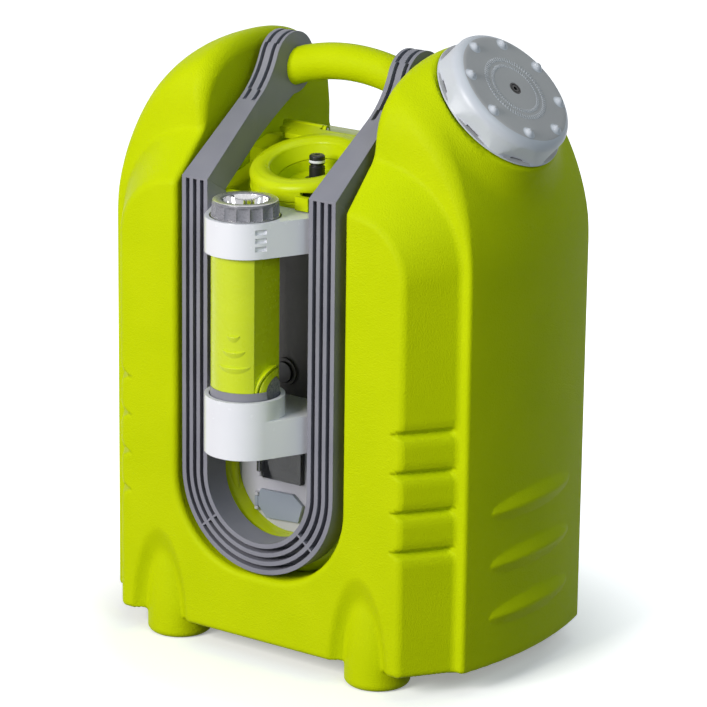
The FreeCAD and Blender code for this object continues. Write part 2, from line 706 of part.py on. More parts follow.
def well_recess(grow):
    # The recess goes on from the lid's funnel; grow adds the wall round it.
    mouth = LID_CENTRE - LID_AXIS * LID_SEAT
    depth = WELL_DEPTH + grow
    return cylinder(LID_FUNNEL_R + grow, depth + 30, mouth - LID_AXIS * depth, LID_AXIS)


def side_recess(grow):
    # The lower roof beside the lid's seat, left and right; grow adds the wall under and round it.
    y0, y1 = ROOF_DROP_Y
    region = box(-200, 200, y0 - grow, y1 + grow, 300, 700)
    region = region.common(housing_cap_profile(ROOF_DROP + grow, 700))
    seat = cylinder(LID_R + 1 - grow, 300, LID_CENTRE - LID_AXIS * 150, LID_AXIS)
    half_w = LATCH_HALF_W + 5 - grow
    latch_block = box(LATCH_X - half_w, LATCH_X + half_w, -200, LID_CENTRE.y, 0, 700)
    return region.cut([seat, latch_block])


def cover_screw_places():
    x = CHANNEL_HALF_W - HOUSING_GAP - HOUSING_WALL - COVER_BOSS_R + 0.5
    return [(-x, 372.0), (x, 372.0), (-x, 170.0), (x, 170.0)]


def housing_cavity():
    inner = channel_prism(HOUSING_GAP + HOUSING_WALL, FRAME_BACK_Y + HOUSING_WALL, HOUSING_BACK_Y + 1, 600)
    inner = inner.cut(housing_cap_profile(HOUSING_WALL, 700))
    panel_back = PANEL_Y + PANEL_T
    surround = bay(BEZEL_R + HOUSING_WALL, FRAME_BACK_Y - 1, panel_back + 3, BAY_TOP + HOUSING_WALL)
    surround = surround.cut(bay(BEZEL_R - PANEL_LIP, FRAME_BACK_Y - 2, panel_back + 4, BAY_TOP - PANEL_LIP))
    bosses = [cylinder(COVER_BOSS_R, COVER_BOSS_LENGTH, V(x, HOUSING_BACK_Y - COVER_BOSS_LENGTH, z), Y_AXIS)
              for x, z in cover_screw_places()]
    return inner.cut([surround, well_recess(HOUSING_WALL), side_recess(HOUSING_WALL)] + bosses)


def make_housing():
    body = channel_prism(HOUSING_GAP, FRAME_BACK_Y, HOUSING_BACK_Y, 600)
    body = body.cut(housing_cap_profile(0, 700))
    body = body.cut(bay(BEZEL_R, FRAME_BACK_Y - 1, PANEL_Y + PANEL_T, BAY_TOP))
    rim = [e for e in body.Edges
           if abs(e.BoundBox.YMin - FRAME_BACK_Y) < 0.01 and abs(e.BoundBox.YMax - FRAME_BACK_Y) < 0.01
           and e.BoundBox.XMin > -BEZEL_R - 1 and e.BoundBox.XMax < BEZEL_R + 1
           and e.BoundBox.ZMax < BAY_TOP - 0.5]
    body = body.makeFillet(BEZEL_EDGE_R, rim)
    body = body.cut(housing_cavity())
    body = body.cut([well_recess(0.0), side_recess(0.0)])
    body = body.cut(bay(BEZEL_R - PANEL_LIP, PANEL_Y, PANEL_Y + PANEL_T + 4, BAY_TOP - PANEL_LIP))
    posts = []
    for x0 in (LID_BARREL[0] - 0.5 - POST_T, LID_BARREL[1] + 0.5):
        posts += both_sides(hinge_post(x0, x0 + POST_T))
    body = body.fuse(posts)
    pin_holes = both_sides(cylinder(LID_PIN_R, 60, V(15, LID_HINGE_Y, LID_HINGE_Z), X_AXIS))
    body = body.cut(pin_holes)
    body = body.cut(latch_pocket())
    body = body.cut(cylinder(NIPPLE_TAIL_R + 0.1, 100, V(0, NIPPLE_Y, 300), Z_AXIS))
    holes = [cylinder(SCREW_R + 0.2, 20, V(x, FRAME_BACK_Y - 1, z), Y_AXIS) for x, z in frame_screw_places()]
    holes += [cylinder(SCREW_R, 11, V(x, HOUSING_BACK_Y - 10.3, z), Y_AXIS) for x, z in cover_screw_places()]
    holes.append(cylinder(FITTING_R + 0.3, 10, V(CHANNEL_HALF_W - 8, OUTLET_Y, OUTLET_Z), X_AXIS))
    return first_solid(body.cut(holes))


def latch_pocket():
    half_w = LATCH_HALF_W + 0.4
    return box(LATCH_X - half_w, LATCH_X + half_w, FRAME_BACK_Y - 1, FRAME_BACK_Y + 8.8, 352, 380)


def make_rear_cover():
    cover = channel_prism(HOUSING_GAP, HOUSING_BACK_Y + 0.05, HOUSING_BACK_Y + COVER_T, 600)
    cover = cover.cut(housing_cap_profile(0, 700))
    for x, z in cover_screw_places():
        cover = cover.cut(cylinder(SCREW_R + 0.2, 20, V(x, HOUSING_BACK_Y - 5, z), Y_AXIS))
    return first_solid(cover)


def make_cover_screws():
    outer_face = HOUSING_BACK_Y + COVER_T
    solids = []
    for x, z in cover_screw_places():
        solids.append(screw(V(x, outer_face + SCREW_HEAD_T, z), V(x, HOUSING_BACK_Y - 10, z)))
    return Part.makeCompound(solids)


# ---------------------------------------------------------------- hose lid

def make_lid():
    # Section of the ring, radius then height above the lid's top plane.
    def p(r, h):
        return V(r, 0, h)
    low = -LID_SEAT + LID_CLEARANCE
    outer = [seg(p(LID_R, low), p(LID_R, -7)),
             arc(p(LID_R, -7), p(LID_R - 1.6, -2.2), p(LID_R - 6, -0.4)),
             arc(p(LID_R - 6, -0.4), p(LID_R - 10, 0), p(LID_BORE_R + 2, -1.5)),
             arc(p(LID_BORE_R + 2, -1.5), p(LID_BORE_R + 0.4, -2.4), p(LID_BORE_R - 0.4, -4.2)),
             seg(p(LID_BORE_R - 0.4, -4.2), p(LID_FUNNEL_R, low))]
    inner = [seg(p(LID_FUNNEL_R, low), p(LID_FUNNEL_R + 2.4, low)),
             seg(p(LID_FUNNEL_R + 2.4, low), p(LID_BORE_R + 2.2, -5)),
             seg(p(LID_BORE_R + 2.2, -5), p(LID_R - 6, -3.4)),
             seg(p(LID_R - 6, -3.4), p(LID_R - 2.6, -7)),
             seg(p(LID_R - 2.6, -7), p(LID_R - 2.6, low)),
             seg(p(LID_R - 2.6, low), p(LID_R, low))]
    section = Part.Face(Part.Wire(outer + inner))
    ring = section.revolve(V(0, 0, 0), Z_AXIS, 360)
    ring.rotate(V(0, 0, 0), X_AXIS, LID_TILT)
    ring.translate(LID_CENTRE)
    web = polygon([V(-LID_BARREL[1], LID_HINGE_Y, LID_HINGE_Z + LID_BARREL_R - 0.6),
                   V(-LID_BARREL[1], LID_HINGE_Y, LID_HINGE_Z - 2.0),
                   V(-LID_BARREL[1], -22, lid_plane_z(-22, 5.0)),
                   V(-LID_BARREL[1], -22, lid_plane_z(-22, 1.2))], V(2 * LID_BARREL[1], 0, 0))
    web = web.cut(cylinder(LID_R - 3, 60, LID_CENTRE - LID_AXIS * 30, LID_AXIS))
    web = web.cut(box(-200, 200, -30, LID_HINGE_Y - 12, 0, 600).common(box(-200, -LID_R + 0.2, -30, 0, 0, 600)))
    web = web.cut(box(LID_R - 0.2, 200, -30, LID_HINGE_Y - 12, 0, 600))
    barrels = both_sides(cylinder(LID_BARREL_R, LID_BARREL[1] - LID_BARREL[0],
                                  V(LID_BARREL[0], LID_HINGE_Y, LID_HINGE_Z), X_AXIS))
    lid = ring.fuse([web] + barrels)
    gap = LID_BARREL[0]
    lid = lid.cut(box(-gap, gap, LID_HINGE_Y - 6.0, LID_HINGE_Y + 8, 380, 420))
    for x0, x1 in ((LID_BARREL[1], 200), (-200, -LID_BARREL[1])):
        lid = lid.cut(box(x0, x1, -30, 30, 380, 420))
    for solid in both_sides(cylinder(LID_PIN_R + PIN_CLEARANCE, 60, V(15, LID_HINGE_Y, LID_HINGE_Z), X_AXIS)):
        lid = lid.cut(solid)
    half_w = LATCH_HALF_W + LATCH_CLEARANCE
    notch = box(LATCH_X - half_w, LATCH_X + half_w, -120, LID_CENTRE.y - 30, 340, lid_plane_z(-90, 7))
    return first_solid(lid.cut(notch))


def make_lid_pins():
    x0 = LID_BARREL[0] - 0.5 - POST_T
    length = LID_BARREL[1] - LID_BARREL[0] + 1 + 2 * POST_T
    return Part.makeCompound(both_sides(cylinder(LID_PIN_R, length, V(x0, LID_HINGE_Y, LID_HINGE_Z), X_AXIS)))


def make_latch():
    # A push key: its foot slides in the housing, its head stands in front of the lid's notch.
    x0 = LATCH_X - LATCH_HALF_W
    x1 = LATCH_X + LATCH_HALF_W
    foot_back = FRAME_BACK_Y + 5.3
    top = lid_plane_z(FRAME_BACK_Y, LID_SEAT) - 0.1
    bridge_z = top - 2.2
    key_foot = box(x0, x1, FRAME_BACK_Y + 0.3, foot_back, top - 12.5, top)
    bridge = box(x0, x1, LATCH_FRONT_Y, foot_back, bridge_z, top)
    head = box(x0, x1, LATCH_FRONT_Y, LATCH_FRONT_Y + LATCH_HEAD_T, bridge_z, top + 8)
    return key_foot.fuse([bridge, head]).removeSplitter()


# ---------------------------------------------------------------- hose fitting

def nipple_profile(points):
    wire = Part.makePolygon([V(r, 0, z) for r, z in points] + [V(points[0][0], 0, points[0][1])])
    solid = Part.Face(wire).revolve(V(0, 0, 0), Z_AXIS, 360)
    solid.translate(V(0, NIPPLE_Y, 0))
    return solid


def hose_floor_z():
    # Height of the well's floor where the hose fitting stands.
    return lid_plane_z(NIPPLE_Y, LID_SEAT + WELL_DEPTH)


def make_nipple():
    z = hose_floor_z()
    top = NIPPLE_TOP
    collar_low = z + NIPPLE_COLLAR_R * math.tan(math.radians(LID_TILT)) + 0.1
    collar_top = z + NIPPLE_COLLAR_TOP
    pts = [(2.2, z - NIPPLE_TAIL), (NIPPLE_TAIL_R, z - NIPPLE_TAIL), (NIPPLE_TAIL_R, collar_low),
           (NIPPLE_COLLAR_R, collar_low), (NIPPLE_COLLAR_R, collar_top), (NIPPLE_R, collar_top), (NIPPLE_R, top - 9),
           (NIPPLE_R - 1.0, top - 8.4), (NIPPLE_R - 1.0, top - 7.4), (NIPPLE_R, top - 6.8),
           (NIPPLE_R, top - 6), (NIPPLE_R - 1.3, top - 6), (NIPPLE_R - 1.3, top - 4),
           (NIPPLE_R, top - 4), (NIPPLE_R, top - 1), (NIPPLE_R - 1, top), (2.2, top)]
    return nipple_profile(pts)


def make_nipple_ring():
    top = NIPPLE_TOP
    return nipple_profile([(NIPPLE_R - 1.3, top - 6), (NIPPLE_R + 0.1, top - 6),
                           (NIPPLE_R + 0.1, top - 4), (NIPPLE_R - 1.3, top - 4)])


# ---------------------------------------------------------------- holders

def holder_plan(z, back_y):
    # Round nose, then side walls that open out until they nearly fill the frame.
    a = math.radians(HOLDER_FLARE)
    tx = HOLDER_R * math.cos(a)
    ty = GUN_Y - HOLDER_R * math.sin(a)
    run = (HOLDER_HALF_W - tx) / math.sin(a)
    ky = ty + run * math.cos(a)
    left = V(-tx, ty, z)
    right = V(tx, ty, z)
    return [arc(left, V(0, GUN_Y - HOLDER_R, z), right),
            seg(right, V(HOLDER_HALF_W, ky, z)),
            seg(V(HOLDER_HALF_W, ky, z), V(HOLDER_HALF_W, back_y, z)),
            seg(V(HOLDER_HALF_W, back_y, z), V(-HOLDER_HALF_W, back_y, z)),
            seg(V(-HOLDER_HALF_W, back_y, z), V(-HOLDER_HALF_W, ky, z)),
            seg(V(-HOLDER_HALF_W, ky, z), left)]


def holder_block(z0, z1):
    return extrude_wire(holder_plan(z0, PANEL_Y), V(0, 0, z1 - z0))


def make_upper_holder():
    z0, z1 = UPPER_HOLDER_Z
    block = holder_block(z0, z1)
    block = block.cut(box(-200, 200, FRAME_BACK_Y, 0, 345.0, 400))
    block = block.cut(cylinder(HOLDER_BORE_R, 100, V(0, GUN_Y, z0 - 10), Z_AXIS))
    pocket = box(-HOLDER_HALF_W + 6, HOLDER_HALF_W - 6, GUN_Y + HOLDER_BORE_R + 4, PANEL_Y - 4, z0 - 1, z1 - 3)
    block = block.cut(pocket)
    grips = []
    for i in range(3):
        z = z0 + 6.0 + i * 6.4
        bar = box(-4.5, 4.5, -1.6, 1.6, 0, 3.6)
        bar.translate(V(0, -HOLDER_R, z))
        bar.rotate(V(0, 0, 0), Z_AXIS, HOLDER_GRIP_ANGLE)
        bar.translate(V(0, GUN_Y, 0))
        grips.append(bar)
    block = block.cut(grips)
    return first_solid(block.cut(holder_screw_holes()))


def make_lower_cup():
    z0, z1 = CUP_Z
    cup = cylinder(HOLDER_R, z1 - z0, V(0, GUN_Y, z0), Z_AXIS)
    bracket = holder_block(z0, BRACKET_TOP)
    body = cup.fuse(bracket)
    body = body.cut(cylinder(HOLDER_BORE_R, 100, V(0, GUN_Y, z0 + CUP_FLOOR), Z_AXIS))
    pocket = box(-HOLDER_HALF_W + 6, HOLDER_HALF_W - 6, GUN_Y + HOLDER_R + 3, PANEL_Y - 4, z0 - 1, BRACKET_TOP - 3)
    body = body.cut(pocket)
    body = body.cut(cylinder(5.0, 20, V(0, GUN_Y, z0 - 5), Z_AXIS))
    return first_solid(body.cut(holder_screw_holes()))


def holder_screw_holes():
    return [cylinder(SCREW_R, HOLDER_SCREW_BITE + 0.3, V(x, PANEL_Y - HOLDER_SCREW_BITE - 0.3, z), Y_AXIS)
            for x, z in holder_screw_places()]


def holder_screw_places():
    return [(-30.0, 337.6), (30.0, 337.6), (-30.0, 193.0), (30.0, 193.0)]


def make_holder_screws():
    solids = []
    for x, z in holder_screw_places():
        head = V(x, PANEL_Y + PANEL_T + SCREW_HEAD_T, z)
        solids.append(screw(head, V(x, PANEL_Y - HOLDER_SCREW_BITE, z)))
    return Part.makeCompound(solids)


# ---------------------------------------------------------------- spray gun

def gun_section(r, z0, z1):
    body = cylinder(r, z1 - z0, V(0, GUN_Y, z0), Z_AXIS)
    return body.common(box(-GUN_FLAT_X, GUN_FLAT_X, -300, 0, z0, z1))


def make_gun_body():
    z0, z1 = GUN_BODY_Z
    low = cylinder(GUN_R, 26, V(0, GUN_Y, z0), Z_AXIS)
    body = gun_section(GUN_R, z0, z1 - 12).fuse(cylinder(GUN_R, 12, V(0, GUN_Y, z1 - 12), Z_AXIS))
    cheek = cylinder(19.5, 2 * GUN_R, V(-GUN_R, KNUCKLE_Y, KNUCKLE_Z), X_AXIS)
    body = body.fuse(low.common(cheek)).removeSplitter()
    groove = tube(18.2, 16.4, 100, V(-50, KNUCKLE_Y, KNUCKLE_Z), X_AXIS)
    groove = groove.cut(box(-GUN_FLAT_X + 1.0, GUN_FLAT_X - 1.0, -300, 0, 0, 600))
    body = body.cut(groove)
    seat = cylinder(KNUCKLE_R, 100, V(-50, KNUCKLE_Y, KNUCKLE_Z), X_AXIS)
    seat = seat.cut(box(-GUN_FLAT_X + 0.5, GUN_FLAT_X - 0.5, -300, 0, 0, 600))
    body = body.cut(seat)
    body = body.cut(cylinder(6.0, 300, V(0, GUN_Y, 200), Z_AXIS))
    body = body.cut(cylinder(RING_BORE_R - 2, 30, V(0, GUN_Y, z1 - 22), Z_AXIS))
    body = body.cut(cylinder(15.0, 10, V(0, GUN_Y, z0 - 1), Z_AXIS))
    return first_solid(body)


def make_gun_collar():
    z0 = GUN_BOTTOM
    z1 = GUN_BODY_Z[0]
    body = cylinder(GUN_COLLAR_R, z1 - z0, V(0, GUN_Y, z0), Z_AXIS)
    body = body.fuse(cylinder(15.0 - 0.05, 9, V(0, GUN_Y, z1), Z_AXIS))
    body = body.cut(cylinder(6.0, 100, V(0, GUN_Y, z0 - 1), Z_AXIS))
    seat = cylinder(KNUCKLE_R, 100, V(-50, KNUCKLE_Y, KNUCKLE_Z), X_AXIS)
    seat = seat.cut(box(-GUN_FLAT_X + 0.5, GUN_FLAT_X - 0.5, -300, 0, 0, 600))
    body = body.cut(seat)
    inlet_hole = cylinder(7.0, 12, V(0, GUN_Y, z0), Z_AXIS)
    return first_solid(body.cut(inlet_hole))


def make_gun_inlet():
    z0 = CUP_Z[0] + CUP_FLOOR
    body = cylinder(9.0, GUN_BOTTOM - z0, V(0, GUN_Y, z0), Z_AXIS)
    body = body.fuse(cylinder(7.0, GUN_BOTTOM - z0 + 12, V(0, GUN_Y, z0), Z_AXIS))
    return body.cut(cylinder(4.0, 40, V(0, GUN_Y, z0 - 1), Z_AXIS))


def make_knuckle_discs():
    disc = cylinder(KNUCKLE_R - 0.15, KNUCKLE_DISC_T, V(GUN_FLAT_X - 0.5, KNUCKLE_Y, KNUCKLE_Z), X_AXIS)
    disc = disc.cut(cylinder(1.5, 10, V(GUN_FLAT_X - 5, KNUCKLE_Y, KNUCKLE_Z + 5), X_AXIS))
    return Part.makeCompound(both_sides(disc))


def make_knuckle_screws():
    face = GUN_FLAT_X - 0.5 + KNUCKLE_DISC_T
    pin = cylinder(1.5, KNUCKLE_DISC_T - 0.2, V(GUN_FLAT_X - 0.5, KNUCKLE_Y, KNUCKLE_Z + 5), X_AXIS)
    slot = box(face - 0.8, face + 3, KNUCKLE_Y - 1.2, KNUCKLE_Y + 1.2, KNUCKLE_Z + 4.7, KNUCKLE_Z + 5.3)
    return Part.makeCompound(both_sides(pin.cut(slot)))


def make_gun_ring():
    z0, z1 = RING_Z
    body = Part.makeCone(RING_R, RING_TOP_R, z1 - z0, V(0, GUN_Y, z0), Z_AXIS)
    top = [e for e in body.Edges if e.BoundBox.ZMin > z1 - 0.01]
    body = body.makeFillet(1.2, top)
    cuts = []
    for i in range(RING_SCALLOPS):
        a = 2 * math.pi * (i + 0.5) / RING_SCALLOPS
        out = V(math.cos(a), math.sin(a), 0)
        cuts.append(cylinder(5.2, 8.5, V(0, GUN_Y, z0 + 1.5) + out * (RING_TOP_R + 4.6), Z_AXIS))
    body = body.cut(cuts)
    body = body.cut(cylinder(RING_BORE_R, 60, V(0, GUN_Y, z0 - 5), Z_AXIS))
    return first_solid(body)


def make_jet_funnel():
    z1 = RING_Z[1] - 0.8
    z0 = RING_Z[0] - 4.0
    r = RING_BORE_R - 0.1
    outer = cylinder(r, z1 - RING_Z[0] + 0.4, V(0, GUN_Y, RING_Z[0] - 0.4), Z_AXIS)
    outer = outer.fuse(cylinder(RING_BORE_R - 2, 8, V(0, GUN_Y, RING_Z[0] - 8.0), Z_AXIS))
    mouth = Part.makeCone(14.0, r - 1.0, z1 - z0, V(0, GUN_Y, z0), Z_AXIS)
    return outer.cut(mouth).cut(cylinder(14.0, 30, V(0, GUN_Y, z0 - 20), Z_AXIS))


def make_jet_disc():
    z0 = RING_Z[0] - 8.0
    disc = cylinder(14.0 - 0.05, 4.0, V(0, GUN_Y, z0), Z_AXIS)
    disc = disc.fuse(cylinder(4.0, 6.0, V(0, GUN_Y, z0), Z_AXIS))
    holes = []
    for i in range(8):
        a = 2 * math.pi * i / 8
        holes.append(cylinder(2.4, 20, V(9.0 * math.cos(a), GUN_Y + 9.0 * math.sin(a), z0 - 5), Z_AXIS))
    return first_solid(disc.cut(holes))


# ---------------------------------------------------------------- control panel

def make_gun_bay_panel():
    panel = box(-BEZEL_R + PANEL_GAP, BEZEL_R - PANEL_GAP, PANEL_Y, PANEL_Y + PANEL_T, PANEL_SPLIT_Z + 0.1,
                BAY_TOP - PANEL_GAP)
    panel = panel.cut(cylinder(BUTTON_R + 1.2, 20, V(BUTTON_X, PANEL_Y - 5, BUTTON_Z), Y_AXIS))
    for x, z in holder_screw_places():
        panel = panel.cut(cylinder(SCREW_R + 0.2, 20, V(x, PANEL_Y - 5, z), Y_AXIS))
    return first_solid(panel)


def hinge_lugs(pin, barrel_r, ranges):
    # Ears on the panel that carry a hinge pin.
    lugs = []
    for z0, z1 in ranges:
        lug = cylinder(barrel_r, z1 - z0, V(pin.x, pin.y, z0), Z_AXIS)
        web = box(pin.x - barrel_r, pin.x + 0.6, pin.y, PANEL_Y, z0, z1)
        lugs.append(lug.fuse(web))
    return lugs


def window_barrel_z():
    return WINDOW_Z[0] + 5.0, WINDOW_Z[1] - 5.0


def make_control_panel():
    panel = bay(BEZEL_R - PANEL_GAP, PANEL_Y, PANEL_Y + PANEL_T, PANEL_SPLIT_Z - 0.1)
    panel = panel.cut(box(WINDOW_X[0], WINDOW_X[1], PANEL_Y - 5, PANEL_Y + 10, WINDOW_Z[0], WINDOW_Z[1]))
    panel = panel.cut(box(SOCKET_X[0], SOCKET_X[1], PANEL_Y - 5, PANEL_Y + 10, SOCKET_Z[0], SOCKET_Z[1]))
    w0, w1 = window_barrel_z()
    f0, f1 = FLAP_BARREL_Z
    lugs = hinge_lugs(WINDOW_PIN, 2.2, [(w0 - 4, w0 - 0.3), (w1 + 0.3, w1 + 4)])
    lugs += hinge_lugs(FLAP_PIN, 2.0, [(f0 - 3, f0 - 0.3), (f1 + 0.3, f1 + 3)])
    panel = panel.fuse(lugs)
    panel = panel.cut(cylinder(WINDOW_PIN_R, w1 - w0 + 6, WINDOW_PIN + Z_AXIS * (w0 - 3), Z_AXIS))
    panel = panel.cut(cylinder(FLAP_PIN_R, f1 - f0 + 4, FLAP_PIN + Z_AXIS * (f0 - 2), Z_AXIS))
    return first_solid(panel)


def make_socket_frame():
    w0, w1 = WINDOW_X
    z0, z1 = WINDOW_Z
    body = box(w0 + 0.1, w1 - 0.1, PANEL_Y - 2.5, PANEL_Y + 14, z0 + 0.1, z1 - 0.1)
    body = body.cut(box(w0 + 2.5, w1 - 2.5, PANEL_Y - 5, PANEL_Y + 11, z0 + 2.5, z1 - 2.5))
    return first_solid(body)


def make_socket_body():
    x = (WINDOW_X[0] + WINDOW_X[1]) / 2
    z = (WINDOW_Z[0] + WINDOW_Z[1]) / 2
    body = cylinder(9.5, 8.0, V(x - 5, PANEL_Y + 3.0, z), Y_AXIS)
    return body.cut(cylinder(7.5, 6.0, V(x - 5, PANEL_Y + 2.0, z), Y_AXIS))


def make_window_cover():
    z0, z1 = window_barrel_z()
    cover = box(WINDOW_PIN.x + 1.5, WINDOW_X[1] - 0.3, WINDOW_PIN.y, WINDOW_PIN.y + 2.2,
                WINDOW_Z[0] + 0.3, WINDOW_Z[1] - 0.3)
    clear = box(WINDOW_PIN.x - 3, WINDOW_PIN.x + 3.0, -100, PANEL_Y, 0, z0)
    clear = clear.fuse(box(WINDOW_PIN.x - 3, WINDOW_PIN.x + 3.0, -100, PANEL_Y, z1, 300))
    cover = cover.cut(clear).fuse(cylinder(2.2, z1 - z0, WINDOW_PIN + Z_AXIS * z0, Z_AXIS))
    return first_solid(cover.cut(cylinder(WINDOW_PIN_R + PIN_CLEARANCE, 200, WINDOW_PIN, Z_AXIS)))


def make_window_pin():
    z0, z1 = window_barrel_z()
    return cylinder(WINDOW_PIN_R, z1 - z0 + 6, WINDOW_PIN + Z_AXIS * (z0 - 3), Z_AXIS)


def make_charge_flap():
    z0, z1 = FLAP_BARREL_Z
    y = PANEL_Y - 0.6 - FLAP_T
    flap = polygon([V(x, y, z) for x, z in FLAP_OUTLINE], V(0, FLAP_T, 0))
    clear = box(FLAP_PIN.x - 3, FLAP_PIN.x + 2.6, -100, PANEL_Y, 0, z0)
    clear = clear.fuse(box(FLAP_PIN.x - 3, FLAP_PIN.x + 2.6, -100, PANEL_Y, z1, 300))
    clear = clear.fuse(box(-100, FLAP_PIN.x, -100, PANEL_Y, 0, 300))
    flap = flap.cut(clear).fuse(cylinder(2.0, z1 - z0, FLAP_PIN + Z_AXIS * z0, Z_AXIS))
    return first_solid(flap.cut(cylinder(FLAP_PIN_R + PIN_CLEARANCE, 200, FLAP_PIN, Z_AXIS)))


def make_flap_pin():
    z0, z1 = FLAP_BARREL_Z
    return cylinder(FLAP_PIN_R, z1 - z0 + 4, FLAP_PIN + Z_AXIS * (z0 - 2), Z_AXIS)


def make_power_button():
    key = cylinder(BUTTON_R, 7.0, V(BUTTON_X, PANEL_Y - 4.0, BUTTON_Z), Y_AXIS)
    return key


def make_button_bezel():
    return tube(BUTTON_R + 3.0, BUTTON_R + 0.3, 2.0, V(BUTTON_X, PANEL_Y - 2.0, BUTTON_Z), Y_AXIS)


# ---------------------------------------------------------------- inside the housing

def make_switch_housing():
    back = PANEL_Y + PANEL_T
    cup = cylinder(BUTTON_R + 3.0, 9.0, V(BUTTON_X, back, BUTTON_Z), Y_AXIS)
    return cup.cut(cylinder(BUTTON_R + 0.3, 6.5, V(BUTTON_X, back, BUTTON_Z), Y_AXIS))


def make_charge_socket():
    body = box(SOCKET_X[0] + 0.2, SOCKET_X[1] - 0.2, PANEL_Y + 0.5, PANEL_Y + 12,
               SOCKET_Z[0] + 0.2, SOCKET_Z[1] - 0.2)
    middle = V((SOCKET_X[0] + SOCKET_X[1]) / 2, PANEL_Y, (SOCKET_Z[0] + SOCKET_Z[1]) / 2)
    return body.cut(tube(6.0, 1.5, 9.0, middle, Y_AXIS))


def make_control_board():
    back = PANEL_Y + PANEL_T
    board = box(-22, 22, back, back + 1.6, 178, 213)
    chips = [box(-15, -3, back + 1.6, back + 4, 190, 202), box(4, 16, back + 1.6, back + 6, 184, 204)]
    return board.fuse(chips)


def make_battery():
    pack = channel_prism(HOUSING_GAP + HOUSING_WALL, BATTERY_Y[0], BATTERY_Y[1], BATTERY_TOP)
    return pack.common(box(-BATTERY_HALF_W, BATTERY_HALF_W, -200, 200, 0, BATTERY_TOP))


def pump_axis(z):
    return V(0, OUTLET_Y, z)


def make_pump_head():
    head = cylinder(PUMP_R, PUMP_TOP - BATTERY_TOP, pump_axis(BATTERY_TOP), Z_AXIS)
    port = cylinder(PIPE_BORE_R, 60, V(0, OUTLET_Y, OUTLET_Z), X_AXIS)
    front_port = cylinder(PIPE_BORE_R, 60, V(0, OUTLET_Y - 60, OUTLET_Z), Y_AXIS)
    return head.cut([port, front_port])


def make_pump_motor():
    can = cylinder(MOTOR_R, MOTOR_TOP - PUMP_TOP, pump_axis(PUMP_TOP), Z_AXIS)
    neck = cylinder(8.0, 5.0, pump_axis(MOTOR_TOP), Z_AXIS)
    return can.fuse(neck)


def make_inlet_pipe():
    reach = CHANNEL_HALF_W + 4
    pipe = tube(PIPE_R, PIPE_BORE_R, reach, V(0, OUTLET_Y, OUTLET_Z), X_AXIS)
    return first_solid(pipe.cut(cylinder(PUMP_R, 100, pump_axis(100), Z_AXIS)))


def make_outlet_pipe():
    top = hose_floor_z() - NIPPLE_TAIL
    corner = V(0, NIPPLE_Y, OUTLET_Z)
    run = cylinder(PIPE_R, OUTLET_Y - NIPPLE_Y, corner, Y_AXIS)
    outer = run.fuse(cylinder(PIPE_R, top - OUTLET_Z, corner, Z_AXIS)).fuse(Part.makeSphere(PIPE_R, corner))
    bore = cylinder(PIPE_BORE_R, OUTLET_Y - NIPPLE_Y + 1, corner, Y_AXIS)
    bore = bore.fuse(cylinder(PIPE_BORE_R, top, corner, Z_AXIS)).fuse(Part.makeSphere(PIPE_BORE_R, corner))
    return first_solid(outer.cut(bore).cut(cylinder(PUMP_R, 100, pump_axis(100), Z_AXIS)))


def make_tank_outlet():
    # Threaded fitting through the tank wall and the housing wall, flanged inside the tank.
    inner_wall = CHANNEL_HALF_W + TANK_WALL
    start = V(CHANNEL_HALF_W - 8, OUTLET_Y, OUTLET_Z)
    body = cylinder(FITTING_R, inner_wall + 3 - start.x, start, X_AXIS)
    body = body.fuse(cylinder(FITTING_R + 3.5, 3, V(inner_wall, OUTLET_Y, OUTLET_Z), X_AXIS))
    return body.cut(cylinder(FITTING_BORE_R, 40, start - X_AXIS, X_AXIS))


def make_outlet_nut():
    face = CHANNEL_HALF_W - HOUSING_GAP - HOUSING_WALL
    return tube(FITTING_R + 4, FITTING_R + 0.05, 4.5, V(face - 4.5, OUTLET_Y, OUTLET_Z), X_AXIS)


def make_inlet_filter():
    start = V(CHANNEL_HALF_W + TANK_WALL + 3, OUTLET_Y, OUTLET_Z)
    sleeve = tube(9.0, 7.5, 26.0, start, X_AXIS)
    sleeve = sleeve.fuse(cylinder(9.0, 1.5, start + X_AXIS * 26.0, X_AXIS))
    slots = []
    for i in range(6):
        x = start.x + 3.0 + i * 3.6
        slots.append(box(x, x + 1.6, OUTLET_Y - 12, OUTLET_Y + 12, OUTLET_Z - 5, OUTLET_Z + 5))
    return first_solid(sleeve.cut(slots))


os.makedirs("parts", exist_ok=True)

